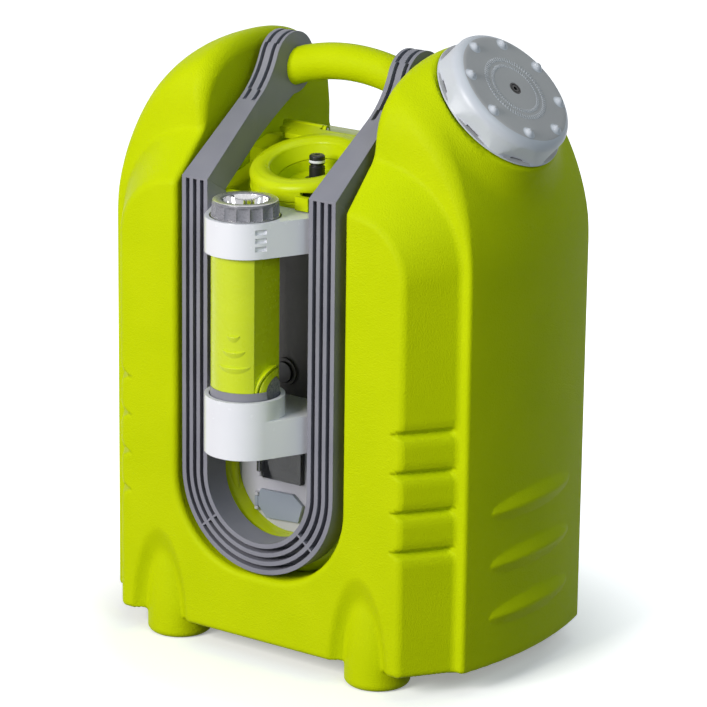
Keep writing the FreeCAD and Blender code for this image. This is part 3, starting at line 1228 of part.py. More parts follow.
BUILDERS = [
    ("tank_shell", make_tank),
    ("filler_cap", make_cap),
    ("cap_gasket", make_cap_gasket),
    ("cap_vent_insert", make_vent_insert),
    ("cap_vent_valve", make_vent_valve),
    ("front_frame", make_frame),
    ("frame_screws", make_frame_screws),
    ("handle_grip", make_handle),
    ("handle_bolts", make_handle_bolts),
    ("module_housing", make_housing),
    ("rear_cover", make_rear_cover),
    ("cover_screws", make_cover_screws),
    ("hose_lid", make_lid),
    ("hose_lid_pins", make_lid_pins),
    ("lid_latch", make_latch),
    ("hose_nipple", make_nipple),
    ("nipple_ring", make_nipple_ring),
    ("upper_holder", make_upper_holder),
    ("lower_cup", make_lower_cup),
    ("holder_screws", make_holder_screws),
    ("gun_body", make_gun_body),
    ("gun_collar", make_gun_collar),
    ("gun_inlet", make_gun_inlet),
    ("gun_knuckle_discs", make_knuckle_discs),
    ("gun_knuckle_screws", make_knuckle_screws),
    ("gun_nozzle_ring", make_gun_ring),
    ("gun_jet_funnel", make_jet_funnel),
    ("gun_jet_disc", make_jet_disc),
    ("gun_bay_panel", make_gun_bay_panel),
    ("control_panel", make_control_panel),
    ("socket_frame", make_socket_frame),
    ("socket_body", make_socket_body),
    ("window_cover", make_window_cover),
    ("window_pin", make_window_pin),
    ("charge_flap", make_charge_flap),
    ("flap_pin", make_flap_pin),
    ("power_button", make_power_button),
    ("button_bezel", make_button_bezel),
    ("switch_housing", make_switch_housing),
    ("charge_socket", make_charge_socket),
    ("control_board", make_control_board),
    ("battery_pack", make_battery),
    ("pump_head", make_pump_head),
    ("pump_motor", make_pump_motor),
    ("inlet_pipe", make_inlet_pipe),
    ("outlet_pipe", make_outlet_pipe),
    ("tank_outlet", make_tank_outlet),
    ("outlet_nut", make_outlet_nut),
    ("inlet_filter", make_inlet_filter),
]

for name, builder in BUILDERS:
    save(builder(), name)
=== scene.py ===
import math

import bmesh
import bpy
import numpy as np
from mathutils import Matrix, Vector


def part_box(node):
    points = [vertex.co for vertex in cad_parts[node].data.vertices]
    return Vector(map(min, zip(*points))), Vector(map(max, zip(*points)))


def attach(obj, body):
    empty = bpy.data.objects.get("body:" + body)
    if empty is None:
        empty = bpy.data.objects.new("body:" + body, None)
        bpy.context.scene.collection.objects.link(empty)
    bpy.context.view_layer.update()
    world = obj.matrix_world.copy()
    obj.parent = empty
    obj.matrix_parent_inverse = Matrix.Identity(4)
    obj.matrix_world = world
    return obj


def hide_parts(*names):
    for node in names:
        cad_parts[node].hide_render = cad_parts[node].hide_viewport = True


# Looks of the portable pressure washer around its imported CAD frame.
# Sizes are in millimetres about the middle of the tank, and become metres in the frame when a piece is made.

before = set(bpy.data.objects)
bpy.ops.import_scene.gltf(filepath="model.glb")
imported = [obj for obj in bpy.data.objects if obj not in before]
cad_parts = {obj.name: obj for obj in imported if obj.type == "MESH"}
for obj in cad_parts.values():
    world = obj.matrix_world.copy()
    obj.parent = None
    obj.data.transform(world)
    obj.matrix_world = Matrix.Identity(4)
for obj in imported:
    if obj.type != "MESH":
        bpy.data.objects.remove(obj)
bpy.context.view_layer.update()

MM = 0.001
FRAME_FRONT_Y = -118.0


def find_origin():
    # The grey frame is symmetric about the tank's middle plane, and its front face lies at FRAME_FRONT_Y.
    low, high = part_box("front_frame")
    return Vector(((low[0] + high[0]) / 2, low[1] - FRAME_FRONT_Y * MM, 0))


ORIGIN = find_origin()


def place(x, y, z):
    return ORIGIN + Vector((x, y, z)) * MM


# ------------------------------------------------------------- materials
DRIFT_SIZE = 45.0
METAL_GRAINS = 900.0        # to the metre


def linear(colour):
    # From the display values 0..255 that a colour is seen as to the shader's linear ones.
    values = []
    for c in colour:
        c = c / 255
        values.append(c / 12.92 if c <= 0.04045 else ((c + 0.055) / 1.055) ** 2.4)
    return (*values, 1.0)


class Nodes:
    # A material's node tree, with short calls that add a node and link it.
    def __init__(self, name):
        self.material = bpy.data.materials.new(name)
        self.material.use_nodes = True
        self.tree = self.material.node_tree
        self.shader = self.tree.nodes["Principled BSDF"]
        self.point = self.add("ShaderNodeTexCoord").outputs["Object"]

    def add(self, kind, inputs=None, **settings):
        node = self.tree.nodes.new(kind)
        for key, value in settings.items():
            setattr(node, key, value)
        for key, value in (inputs or {}).items():
            if isinstance(value, bpy.types.NodeSocket):
                self.tree.links.new(value, node.inputs[key])
            else:
                node.inputs[key].default_value = value
        return node

    def noise(self, size, detail=2.0, roughness=0.5):
        # Noise whose blobs are about size millimetres across.
        inputs = {"Vector": self.point, "Scale": 1 / (size * MM), "Detail": detail, "Roughness": roughness}
        return self.add("ShaderNodeTexNoise", inputs).outputs["Fac"]

    def ramp(self, value, low, high, out_low, out_high):
        inputs = {"Value": value, "From Min": low, "From Max": high, "To Min": out_low, "To Max": out_high}
        return self.add("ShaderNodeMapRange", inputs).outputs["Result"]

    def mix(self, factor, a, b):
        node = self.add("ShaderNodeMix", data_type="RGBA")
        for key, value in ((0, factor), (6, a), (7, b)):
            if isinstance(value, bpy.types.NodeSocket):
                self.tree.links.new(value, node.inputs[key])
            else:
                node.inputs[key].default_value = value
        return node.outputs[2]

    def set(self, name, value):
        if isinstance(value, bpy.types.NodeSocket):
            self.tree.links.new(value, self.shader.inputs[name])
        else:
            self.shader.inputs[name].default_value = value

    def bump(self, height, depth, edge=0.0):
        # depth in millimetres; edge rounds sharp corners by that radius in the shading.
        inputs = {"Height": height, "Distance": depth * MM}
        if edge:
            bevel = self.add("ShaderNodeBevel", {"Radius": edge * MM}, samples=4)
            inputs["Normal"] = bevel.outputs["Normal"]
        self.set("Normal", self.add("ShaderNodeBump", inputs).outputs["Normal"])


def plastic(name, colour, second, rough, grain, depth, edge=0.6, shine=0.5):
    # Moulded plastic: a faint drift between two tones, a grain of the given size and rounded edges.
    n = Nodes(name)
    drift = n.ramp(n.noise(DRIFT_SIZE), 0.35, 0.65, 0.0, 1.0)
    n.set("Base Color", n.mix(drift, linear(colour), linear(second)))
    n.set("Roughness", n.ramp(n.noise(grain * 3), 0.3, 0.7, rough * 0.9, rough * 1.1))
    n.set("Specular IOR Level", shine)
    n.bump(n.noise(grain, detail=1.5), depth, edge=edge)
    return n.material


def metal(name, colour, rough, depth=0.01):
    # Metal with a fine grain that shows in its colour, its gloss and its relief.
    n = Nodes(name)
    inputs = {"Vector": n.point, "Scale": METAL_GRAINS, "Detail": 3.0}
    grain = n.add("ShaderNodeTexNoise", inputs).outputs["Fac"]
    shade = n.ramp(grain, 0.3, 0.7, 0, 0.3)
    n.set("Base Color", n.mix(shade, linear(colour), linear([c * 0.8 for c in colour])))
    n.set("Metallic", 1.0)
    n.set("Roughness", n.ramp(grain, 0.3, 0.7, rough * 0.8, rough * 1.2))
    n.bump(grain, depth, edge=0.3)
    return n.material


def clear_plastic(name):
    # Smoky clear plastic with a faint unevenness in its gloss.
    n = Nodes(name)
    n.set("Base Color", linear((105, 107, 112)))
    n.set("Transmission Weight", 0.9)
    n.set("IOR", 1.49)
    n.set("Roughness", n.ramp(n.noise(6.0), 0.3, 0.7, 0.03, 0.09))
    return n.material


# Each plastic: its two tones, roughness, the grain's size and its depth.
GREEN = plastic("green_pebbled", (196, 212, 4), (192, 209, 2), 0.48, 1.1, 0.45, shine=0.05)
GREEN_SMOOTH = plastic("green_smooth", (194, 210, 8), (189, 206, 5), 0.3, 2.5, 0.02, shine=0.15)
GUN_GREEN = plastic("green_glossy", (196, 212, 10), (192, 208, 8), 0.28, 2.5, 0.02, shine=0.35)
GREY = plastic("frame_grey", (132, 132, 141), (124, 124, 134), 0.42, 0.7, 0.03, shine=0.3)
LIGHT_GREY = plastic("cap_grey", (200, 203, 210), (194, 198, 206), 0.38, 0.6, 0.02)
# The cap's top disc: a matte grey, made darker and warmer than the side partly as painted shade, for a top
# face that gets less light.
CAP_DISC_MATTE_AND_SHADE = plastic("cap_disc_matte_and_shade", (182, 180, 180), (174, 172, 173), 0.5, 0.5, 0.03)
PANEL_GREY = plastic("panel_grey", (178, 178, 186), (172, 172, 180), 0.4, 0.6, 0.02)
BAY_GREY = plastic("bay_grey", (75, 72, 70), (69, 67, 65), 0.45, 0.7, 0.03)
FLAP_GREY = plastic("flap_grey", (140, 148, 160), (134, 143, 156), 0.35, 0.6, 0.02)
WHITE = plastic("holder_white", (228, 229, 234), (224, 225, 231), 0.25, 2.0, 0.01)
RING_GREY = plastic("ring_grey", (122, 122, 128), (114, 114, 121), 0.28, 0.6, 0.003, edge=0.0)
BRUSHED = metal("brushed_rim", (215, 215, 218), 0.3, depth=0.01)
BLACK = plastic("dark_plastic", (28, 28, 30), (24, 24, 26), 0.35, 0.6, 0.02)
RUBBER = plastic("black_rubber", (22, 22, 22), (28, 28, 28), 0.7, 0.5, 0.03)
CLEAR = clear_plastic("clear_plastic")
CHROME = metal("chrome", (230, 230, 232), 0.08, depth=0.002)
STEEL = metal("steel", (190, 190, 192), 0.3)
BRASS = metal("brass", (205, 175, 105), 0.25)
BLUE = plastic("battery_blue", (40, 70, 130), (36, 65, 122), 0.3, 1.0, 0.02)
BOARD = plastic("board_green", (25, 105, 60), (20, 96, 54), 0.4, 0.8, 0.02)
MESH_GREY = plastic("filter_mesh", (205, 207, 210), (180, 183, 188), 0.6, 0.8, 0.2)

# The finish of each material slot in the frame, and of the nodes that differ from their slot.
SLOT_MATERIALS = {
    "tank_green": GREEN, "trim_green": GREEN_SMOOTH, "frame_grey": GREY, "cap_grey": LIGHT_GREY,
    "holder_white": WHITE, "panel_grey": PANEL_GREY, "bay_grey": BAY_GREY, "flap_grey": FLAP_GREY,
    "dark_plastic": BLACK, "black_rubber": RUBBER, "clear_plastic": CLEAR, "chrome_funnel": CHROME,
    "steel": STEEL, "brass": BRASS, "battery_blue": BLUE, "board_green": BOARD, "filter_mesh": MESH_GREY,
}
NODE_MATERIALS = {
    "gun_body": GUN_GREEN, "handle_grip": GREEN, "socket_frame": BLACK, "gun_collar": GREY,
    "gun_knuckle_discs": RING_GREY,
}


def dress_nodes():
    # Every CAD node gets its own finish or that of its material slot.
    for name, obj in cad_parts.items():
        if name in NODE_MATERIALS:
            obj.material_slots[0].material = NODE_MATERIALS[name]
            continue
        for slot in obj.material_slots:
            slot_name = slot.material.name.split(".")[0] if slot.material else ""
            slot.material = SLOT_MATERIALS.get(slot_name, GREEN)


dress_nodes()


# ---------------------------------------------------------- distance fields
# A field gives each point's distance from a surface, negative inside it.
def round_max(a, b, r):
    # What two forms share, with their meeting edge rounded by r.
    return np.minimum(np.maximum(a, b), -r) + np.hypot(np.maximum(a + r, 0), np.maximum(b + r, 0))


def round_min(a, b, r):
    # Two forms together, with a fillet of r where they meet.
    return np.maximum(np.minimum(a, b), r) - np.hypot(np.maximum(r - a, 0), np.maximum(r - b, 0))


def sample_grid(field, low, high, step):
    # The field at every point of a grid, worked out slab by slab to save memory.
    counts = [int(math.ceil((h - l) / step)) + 1 for l, h in zip(low, high)]
    axes = [l + step * np.arange(n) for l, n in zip(low, counts)]
    grid = np.empty(counts, dtype=np.float32)
    for i in range(0, counts[0], 16):
        x, y, z = np.meshgrid(axes[0][i:i + 16], axes[1], axes[2], indexing="ij")
        grid[i:i + 16] = field(x, y, z)
    return grid


def crossed_cells(inside):
    # True for the cells that have corners on both sides of the surface.
    cells = [n - 1 for n in inside.shape]
    corner_sum = np.zeros(cells, dtype=np.int8)
    for dx in (0, 1):
        for dy in (0, 1):
            for dz in (0, 1):
                corner_sum += inside[dx:dx + cells[0], dy:dy + cells[1], dz:dz + cells[2]]
    return (corner_sum > 0) & (corner_sum < 8)


def cell_points(grid, crossed):
    # For each crossed cell, the mean of the places where its edges meet the surface, in grid steps.
    corners = np.argwhere(crossed)
    total = np.zeros((len(corners), 3))
    hits = np.zeros(len(corners))
    for axis in range(3):
        a, b = [t for t in range(3) if t != axis]
        for da in (0, 1):
            for db in (0, 1):
                start = list(corners.T)
                start[a] = start[a] + da
                start[b] = start[b] + db
                end = list(start)
                end[axis] = end[axis] + 1
                v0 = grid[tuple(start)].astype(np.float64)
                v1 = grid[tuple(end)].astype(np.float64)
                meets = (v0 < 0) != (v1 < 0)
                t = np.where(meets, v0 / np.where(meets, v0 - v1, 1), 0)
                point = np.stack(start, axis=1).astype(np.float64)
                point[:, axis] += t
                total[meets] += point[meets]
                hits[meets] += 1
    return total / hits[:, None]


def cell_quads(inside, index):
    # A quad for each grid edge that meets the surface, between the four cells around that edge.
    counts = inside.shape
    faces = []
    for axis in range(3):
        a, b = [(1, 2), (2, 0), (0, 1)][axis]
        low = [slice(1, n - 1) for n in counts]
        low[axis] = slice(0, counts[axis] - 1)
        high = list(low)
        high[axis] = slice(1, counts[axis])
        from_inside = inside[tuple(low)]
        to_inside = inside[tuple(high)]
        for flip, mask in ((False, from_inside & ~to_inside), (True, to_inside & ~from_inside)):
            edge = np.argwhere(mask)
            for t in (a, b):
                edge[:, t] += 1
            quad = []
            for da, db in ((-1, -1), (0, -1), (0, 0), (-1, 0)):
                cell = edge.copy()
                cell[:, a] += da
                cell[:, b] += db
                quad.append(index[cell[:, 0], cell[:, 1], cell[:, 2]])
            quad = np.stack(quad, axis=1)
            faces.append(quad[:, ::-1] if flip else quad)
    return np.concatenate(faces)


def surface_nets(field, low, high, step):
    # The zero surface of a distance field as quads: one point per crossed cell, then pulled onto the surface.
    grid = sample_grid(field, low, high, step)
    inside = grid < 0
    crossed = crossed_cells(inside)
    index = np.full(crossed.shape, -1, dtype=np.int64)
    index[crossed] = np.arange(crossed.sum())
    points = np.array(low) + step * cell_points(grid, crossed)
    for _ in range(3):
        points = pull_onto(field, points, step)
    return points, cell_quads(inside, index)


def field_slope(field, points, h):
    # The direction in which the field grows at each point.
    x, y, z = points.T
    return np.stack([
        field(x + h, y, z) - field(x - h, y, z),
        field(x, y + h, z) - field(x, y - h, z),
        field(x, y, z + h) - field(x, y, z - h)], axis=1) / (2 * h)


def pull_onto(field, points, step):
    # Moves each point towards the surface, by half a grid step at most.
    value = field(*points.T)
    slope = field_slope(field, points, 0.25 * step)
    size = np.maximum((slope ** 2).sum(axis=1), 0.2)
    move = -value[:, None] * slope / size[:, None]
    length = np.linalg.norm(move, axis=1, keepdims=True)
    move *= np.minimum(1, 0.5 * step / np.maximum(length, 1e-9))
    return points + move


def face_outward(mesh):
    # Turns the faces so that their fronts lie outside.
    work = bmesh.new()
    work.from_mesh(mesh)
    bmesh.ops.recalc_face_normals(work, faces=work.faces)
    work.to_mesh(mesh)
    work.free()


def new_piece(name, points, faces, material, body, slot, *nodes, sharp=None, normals=None):
    # A mesh that rides on a body and takes the place of the named nodes.
    # Edges above the angle sharp stay sharp; normals, where given, point the shading.
    mesh = bpy.data.meshes.new(name)
    placed = np.asarray(points) * MM + np.array(ORIGIN)
    mesh.from_pydata(placed.tolist(), [], [list(map(int, f)) for f in faces])
    mesh.materials.append(material)
    if normals is None:
        face_outward(mesh)
    mesh.shade_smooth()
    if sharp:
        mesh.set_sharp_from_angle(angle=math.radians(sharp))
    if normals is not None:
        mesh.normals_split_custom_set_from_vertices(normals.tolist())
    obj = bpy.data.objects.new(name, mesh)
    bpy.context.scene.collection.objects.link(obj)
    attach(obj, body)
    if nodes:
        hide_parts(*nodes)
    return obj


# -------------------------------------------------------------------- tank
# Distances are from the tank's middle and heights from the floor.
TANK_HALF_W = 168.0
TANK_FRONT = 80.0
TANK_BACK = 84.0
TANK_BOTTOM = 18.0
TANK_BOTTOM_EDGE_R = 4.0
SHOULDER_Z = 325.0          # where the straight sides end
SHOULDER_R = 175.0          # arc of the shoulders, seen from the front
CROWN_Z = 418.0             # where the front and rear faces start to round over
CROWN_TOP = 474.0
CROWN_POWER = (2.6, 2.0)    # front and rear; 2 is an ellipse, more is fuller
SIDE_BULGE = 10.0
FRONT_BULGE = 5.0
LOBE_EDGE_Z = (350.0, 440.0)
LOBE_EDGE_R = (2.5, 14.0)   # rounding of the upright edges below and above those heights
CHANNEL_HALF_W = 79.5
CHANNEL_CORNER_R = 68.0
CHANNEL_BOTTOM = 71.5
CHANNEL_EDGE_Z = (400.0, 450.0)
CHANNEL_EDGE_R = (5.0, 14.0)
CAP_TOP = np.array((TANK_HALF_W - 17.5, 0.0, 456.3))
CAP_AXIS = np.array((1.0, 0.0, 1.0)) / math.sqrt(2)
CAP_HEIGHT = 21.0
CAP_R = 57.0
CAP_GAP = 1.3               # around and under the cap
CAP_POCKET_EDGE_R = 3.0
NECK_FLARE_R = 66.0
NECK_FLARE_LENGTH = 34.0
NECK_EDGE_R = 2.0
NECK_BLEND = 16.0
FOOT_X = 96.4
FOOT_Y = 90.5
FOOT_R = 25.6
FOOT_STRAIGHT = 16.0        # height of the straight part of a foot
FOOT_OGIVE = 98.0           # half height of the long ellipsoid that it tapers into
FOOT_EDGE_R = 5.0
NICHE_SIZE = (32.5, 25.0, 102.0)
NICHE_Y = 130.0
RIB_Z = (59.0, 100.5, 142.5)
RIB_TILT = 0.025
RIB_HALF = 54.0             # half the length of a rib
RIB_RISE = 5.4
RIB_SLOPE = 0.52
RIB_CREST_R = 1.5
RIB_CREST_CUT = 0.6
PANEL_FACE = 117.3          # from the middle to the raised panels' faces
PANEL_WIDTH = (160.0, 134.0)    # where a panel meets the tank, and at its face
PANEL_ARCH_X = (78.0, 84.0)     # centre of its upper arc, likewise
PANEL_ARCH_Z = (329.0, 322.0)
PANEL_FLANK = 0.82          # how steep its sloping sides are
PANEL_EDGE = 3.0
REAR_PANEL_DROP = 25.0      # the rear panels sit this much lower
GROOVE_Z = (117.0, 148.0, 179.0, 210.0)
PINCH_DEPTH = 8.5           # depth of a groove
PINCH_SHARE = 0.36          # its soft part reaches this share of the way to the next groove
SOFT_PINCH = 0.42           # and takes this share of its depth; a sharp notch takes the rest
NOTCH_HALF = 3.6
BLEND = 2.0                 # fillet where the forms meet
TANK_BOX = ((-186, -122, -4), (186, 122, 484))
TANK_STEP = 2.2
NORMAL_STEP = 0.4


def between(pair, t):
    return pair[0] + (pair[1] - pair[0]) * t


def side_rise(y, z):
    # The side's three long ribs: a sharp crest, two flat flanks and pointed ends.
    rise = np.full_like(z, -20.0)
    for rib_z in RIB_Z:
        crest = RIB_RISE * np.sqrt(np.maximum(1 - (y / RIB_HALF) ** 2, 0))
        off = z - rib_z - RIB_TILT * y
        rise = np.maximum(rise, crest - RIB_SLOPE * (np.hypot(off, RIB_CREST_R) - RIB_CREST_CUT))
    return (rise + np.sqrt(rise ** 2 + 0.06)) / 2


def lobe_ends(x, y, z):
    # The front and rear faces, which stand upright and curve over into the crown.
    nose = FRONT_BULGE * np.maximum(1 - (x / TANK_HALF_W) ** 2, 0)
    depth = np.where(y < 0, TANK_FRONT + nose, TANK_BACK)
    power = np.where(y < 0, CROWN_POWER[0], CROWN_POWER[1])
    rise = CROWN_TOP - CROWN_Z
    ty = np.abs(y) / depth
    tz = np.maximum(z - CROWN_Z, 0) / rise
    reach = np.maximum(ty ** power + tz ** power, 1e-6) ** (1 / power)
    growth = np.hypot(ty ** (power - 1) / depth, tz ** (power - 1) / rise)
    slope = growth / np.maximum(reach, 1e-3) ** (power - 1)
    return np.where(z > CROWN_Z, (reach - 1) / np.maximum(slope, 1e-3), np.abs(y) - depth)


def lobes(x, y, z):
    # Both halves of the tank as one block, before the channel parts them.
    bulge = SIDE_BULGE * np.maximum(1 - (y / TANK_FRONT) ** 2, -0.3)
    low = np.abs(x) - TANK_HALF_W - bulge - side_rise(y, z)
    high = np.hypot(np.abs(x) + SHOULDER_R - TANK_HALF_W, z - SHOULDER_Z) - SHOULDER_R - bulge
    side = np.where(z < SHOULDER_Z, low, high)
    body = round_max(side, lobe_ends(x, y, z), np.interp(z, LOBE_EDGE_Z, LOBE_EDGE_R))
    return round_max(body, TANK_BOTTOM - z, TANK_BOTTOM_EDGE_R)


def groove_depth(z):
    # From 0 between the grooves to 1 at the bottom of one.
    depth = np.zeros_like(z)
    reach = PINCH_SHARE * (GROOVE_Z[1] - GROOVE_Z[0])
    for groove in GROOVE_Z:
        off = np.abs(z - groove)
        soft = SOFT_PINCH * np.clip(1 - off / reach, 0, 1) ** 2
        notch = (1 - SOFT_PINCH) * np.clip(1 - off / NOTCH_HALF, 0, 1)
        depth = np.maximum(depth, soft + notch)
    return depth


def raised_panel(x, out, z):
    # A tapered, arched panel with grooves across its side edges; out is the distance from the middle.
    t = np.clip((out - TANK_FRONT) / (PANEL_FACE - TANK_FRONT), 0, 1)
    width = between(PANEL_WIDTH, t)
    arch_x = between(PANEL_ARCH_X, t)
    arch_r = width - arch_x
    dx = np.abs(x) - arch_x
    dz = z - between(PANEL_ARCH_Z, t)
    straight = np.abs(x) - width + PINCH_DEPTH * groove_depth(z)
    arch = np.hypot(np.maximum(dx, 0), np.maximum(dz, 0)) - arch_r
    side = np.where(dz > 0, arch, straight)
    outline = np.where((dz > 0) & (dx < 0), dz - arch_r, side)
    return np.maximum(round_max(outline * PANEL_FLANK, out - PANEL_FACE, PANEL_EDGE), -out)


def ellipsoid(x, y, z, size):
    # The distance, nearly, from an ellipsoid with these half sizes.
    k0 = np.sqrt((x / size[0]) ** 2 + (y / size[1]) ** 2 + (z / size[2]) ** 2)
    k1 = np.sqrt((x / size[0] ** 2) ** 2 + (y / size[1] ** 2) ** 2 + (z / size[2] ** 2) ** 2)
    return k0 * (k0 - 1) / np.maximum(k1, 1e-6)


def foot(ax, ay, z):
    # A round foot that tapers up into its panel like a half-buried pointed arch.
    column = round_max(np.hypot(ax - FOOT_X, ay - FOOT_Y) - FOOT_R, -z, FOOT_EDGE_R)
    taper = ellipsoid(ax - FOOT_X, ay - FOOT_Y, z - FOOT_STRAIGHT, (FOOT_R, FOOT_R, FOOT_OGIVE))
    return np.where(z < FOOT_STRAIGHT, column, taper)


def cap_polar(x, y, z):
    # Height above the seat under the cap, and distance from the cap's tilted axis.
    px = x - CAP_TOP[0]
    pz = z - CAP_TOP[2]
    along = px * CAP_AXIS[0] + pz * CAP_AXIS[2] + CAP_HEIGHT + CAP_GAP
    return along, np.hypot(px * CAP_AXIS[2] - pz * CAP_AXIS[0], y)


def neck(along, across):
    # The flare under the cap, a cone about the cap's axis.
    slope = (NECK_FLARE_R - CAP_R) / NECK_FLARE_LENGTH
    cone = (across - CAP_R + slope * along) / math.hypot(1, slope)
    return round_max(np.maximum(cone, -NECK_FLARE_LENGTH - along), along, NECK_EDGE_R)


def channel(x, z):
    # The gap between the lobes, with a round bottom.
    qx = np.abs(x) - (CHANNEL_HALF_W - CHANNEL_CORNER_R)
    qz = CHANNEL_BOTTOM + CHANNEL_CORNER_R - z
    outside = np.hypot(np.maximum(qx, 0), np.maximum(qz, 0))
    return outside + np.minimum(np.maximum(qx, qz), 0) - CHANNEL_CORNER_R


def tank_field(x, y, z):
    # The whole tank: lobes, panels, foot niches, feet, neck, the cap's pocket and the channel.
    ax = np.abs(x)
    ay = np.abs(y)
    d = lobes(x, y, z)
    for out, up in ((-y, z), (y, z + REAR_PANEL_DROP)):
        panel = round_max(raised_panel(x, out, up), TANK_BOTTOM - z, TANK_BOTTOM_EDGE_R)
        d = round_min(d, panel, BLEND)
    niche = ellipsoid(ax - FOOT_X, ay - NICHE_Y, z, NICHE_SIZE)
    d = round_max(d, -niche, BLEND)
    d = round_min(d, foot(ax, ay, z), BLEND)
    along, across = cap_polar(x, y, z)
    d = round_min(d, neck(along, across), NECK_BLEND)
    d = round_max(d, -np.maximum(across - CAP_R - CAP_GAP, -along), CAP_POCKET_EDGE_R)
    return round_max(d, -channel(x, z), np.interp(z, CHANNEL_EDGE_Z, CHANNEL_EDGE_R))


def make_tank():
    step = TANK_STEP
    points, faces = surface_nets(tank_field, *TANK_BOX, step)
    normals = field_slope(tank_field, points, NORMAL_STEP)
    new_piece("tank", points, faces, GREEN, "base", "tank_green", "tank_shell", normals=normals)


make_tank()


# --------------------------------------------------------------------- cap
CAP_DOWN = np.array((1.0, 0.0, -1.0)) / math.sqrt(2)
CAP_SEAT = CAP_TOP - CAP_AXIS * CAP_HEIGHT
CAP_FLATS = 8
CAP_FIRST_FLAT = 16.0       # degrees from straight down
CAP_FLAT_R = 53.6           # from the axis to a flat
CAP_FLAT_EDGE_R = 0.8
CAP_FLANGE = 1.2
CAP_SIDE_R = 56.8
CAP_TOP_R = 54.2
CAP_ROUND = 9.0
CAP_INNER_R = 46.4
CAP_DISC = 3.2              # thickness of the cap's top
# Faces that look along the cap's axis take the disc's matte grey, which is partly painted shade on the top.
CAP_DISC_FACING = 0.97      # faces that look this much along the axis take the disc's grey
VENT_R = 5.2
SLOT_HALF_ANGLE = 6.5       # of the narrow slot at the foot of each flat
SLOT_DEPTH = 1.8
SLOT_FROM = 1.7
SLOT_TO = 2.8
BUMP_CIRCLE = 42.9
BUMP_R = 3.4
BUMP_FILLET = ((5.3, 0.0), (4.4, 0.35))
BUMP_BASE = 0.5
BUMP_RISE = 2.9
KNURL_BANDS = ((19.6, 22.4), (25.0, 28.6))
KNURL_COUNT = 72
KNURL_HEIGHT = 0.3


def around_cap(radius, angle, height):
    # A point at a distance from the cap's axis, at an angle from straight down, height above its seat.
    a = np.radians(angle)
    down = np.multiply.outer(radius * np.cos(a), CAP_DOWN)
    across = np.multiply.outer(radius * np.sin(a), (0.0, 1.0, 0.0))
    return CAP_SEAT + down + across + np.multiply.outer(height, CAP_AXIS)


def ring_faces(rings, count, closed):
    # Quads between rings of count points each; closed joins the last ring to the first.
    faces = []
    for i in range(rings if closed else rings - 1):
        low = i * count
        high = (i + 1) % rings * count
        for j in range(count):
            k = (j + 1) % count
            faces.append((low + j, low + k, high + k, high + j))
    return faces


def cap_profile():
    # The cap's wall from the vent outward over the top, down the side and back up inside.
    profile = [(VENT_R, CAP_HEIGHT)]
    for inner, outer in KNURL_BANDS:
        steps = (inner - 0.3, inner, inner + 0.3, (inner + outer) / 2, outer - 0.3, outer, outer + 0.3)
        profile += [(r, CAP_HEIGHT) for r in steps]
    flat_r = CAP_TOP_R - CAP_ROUND
    profile += [(flat_r - 6, CAP_HEIGHT), (flat_r - 1, CAP_HEIGHT)]
    for t in range(0, 91, 9):
        a = math.radians(t)
        profile.append((flat_r + CAP_ROUND * math.sin(a), CAP_HEIGHT - CAP_ROUND * (1 - math.cos(a))))
    draft = (CAP_SIDE_R - CAP_TOP_R) / (CAP_HEIGHT - CAP_ROUND)
    heights = (8.5, 6.0, 4.0, SLOT_TO + 0.1, SLOT_TO, SLOT_FROM, SLOT_FROM - 0.1)
    profile += [(CAP_SIDE_R - draft * h, h) for h in heights]
    profile += [(CAP_R - 0.3, CAP_FLANGE), (CAP_R, 0.8), (CAP_R, 0.3), (CAP_R - 0.3, 0.0)]
    profile += [(CAP_INNER_R, 0.0), (CAP_INNER_R, CAP_HEIGHT - CAP_DISC), (VENT_R, CAP_HEIGHT - CAP_DISC)]
    return profile


def cap_ring(radius, height, angles):
    # One ring of the cap's profile, with its flats, slots and fine ribs.
    turn = (angles - CAP_FIRST_FLAT + 180 / CAP_FLATS) % (360 / CAP_FLATS) - 180 / CAP_FLATS
    r = np.full_like(angles, radius)
    h = np.full_like(angles, height)
    if radius > CAP_INNER_R and height > CAP_FLANGE:
        r = round_min(r, CAP_FLAT_R / np.cos(np.radians(turn)), CAP_FLAT_EDGE_R)
        if SLOT_FROM <= height <= SLOT_TO:
            r = np.where(np.abs(turn) < SLOT_HALF_ANGLE, r - SLOT_DEPTH, r)
    for inner, outer in KNURL_BANDS:
        if inner < radius < outer and height == CAP_HEIGHT:
            h = h + KNURL_HEIGHT * (np.cos(np.radians(angles * KNURL_COUNT)) > 0.2)
    return around_cap(r, angles, h)


def cap_bumps():
    # Small round studs on the cap, one over each flat.
    points = []
    faces = []
    count = 24
    profile = list(BUMP_FILLET)
    for t in (10, 30, 50, 70, 86):
        a = math.radians(t)
        profile.append((BUMP_R * math.cos(a), BUMP_BASE + BUMP_RISE * math.sin(a)))
    turn = np.radians(np.arange(count) * 360 / count)
    for i in range(CAP_FLATS):
        angle = np.array([CAP_FIRST_FLAT + i * 360 / CAP_FLATS])
        middle = around_cap(np.array([BUMP_CIRCLE]), angle, CAP_HEIGHT)[0]
        start = len(points)
        for radius, height in profile:
            ring = middle + np.multiply.outer(radius * np.cos(turn), CAP_DOWN)
            ring = ring + np.multiply.outer(radius * np.sin(turn), (0.0, 1.0, 0.0)) + CAP_AXIS * height
            points += ring.tolist()
        faces += [tuple(start + v for v in face) for face in ring_faces(len(profile), count, False)]
        faces.append(tuple(start + (len(profile) - 1) * count + j for j in range(count)))
    return points, faces


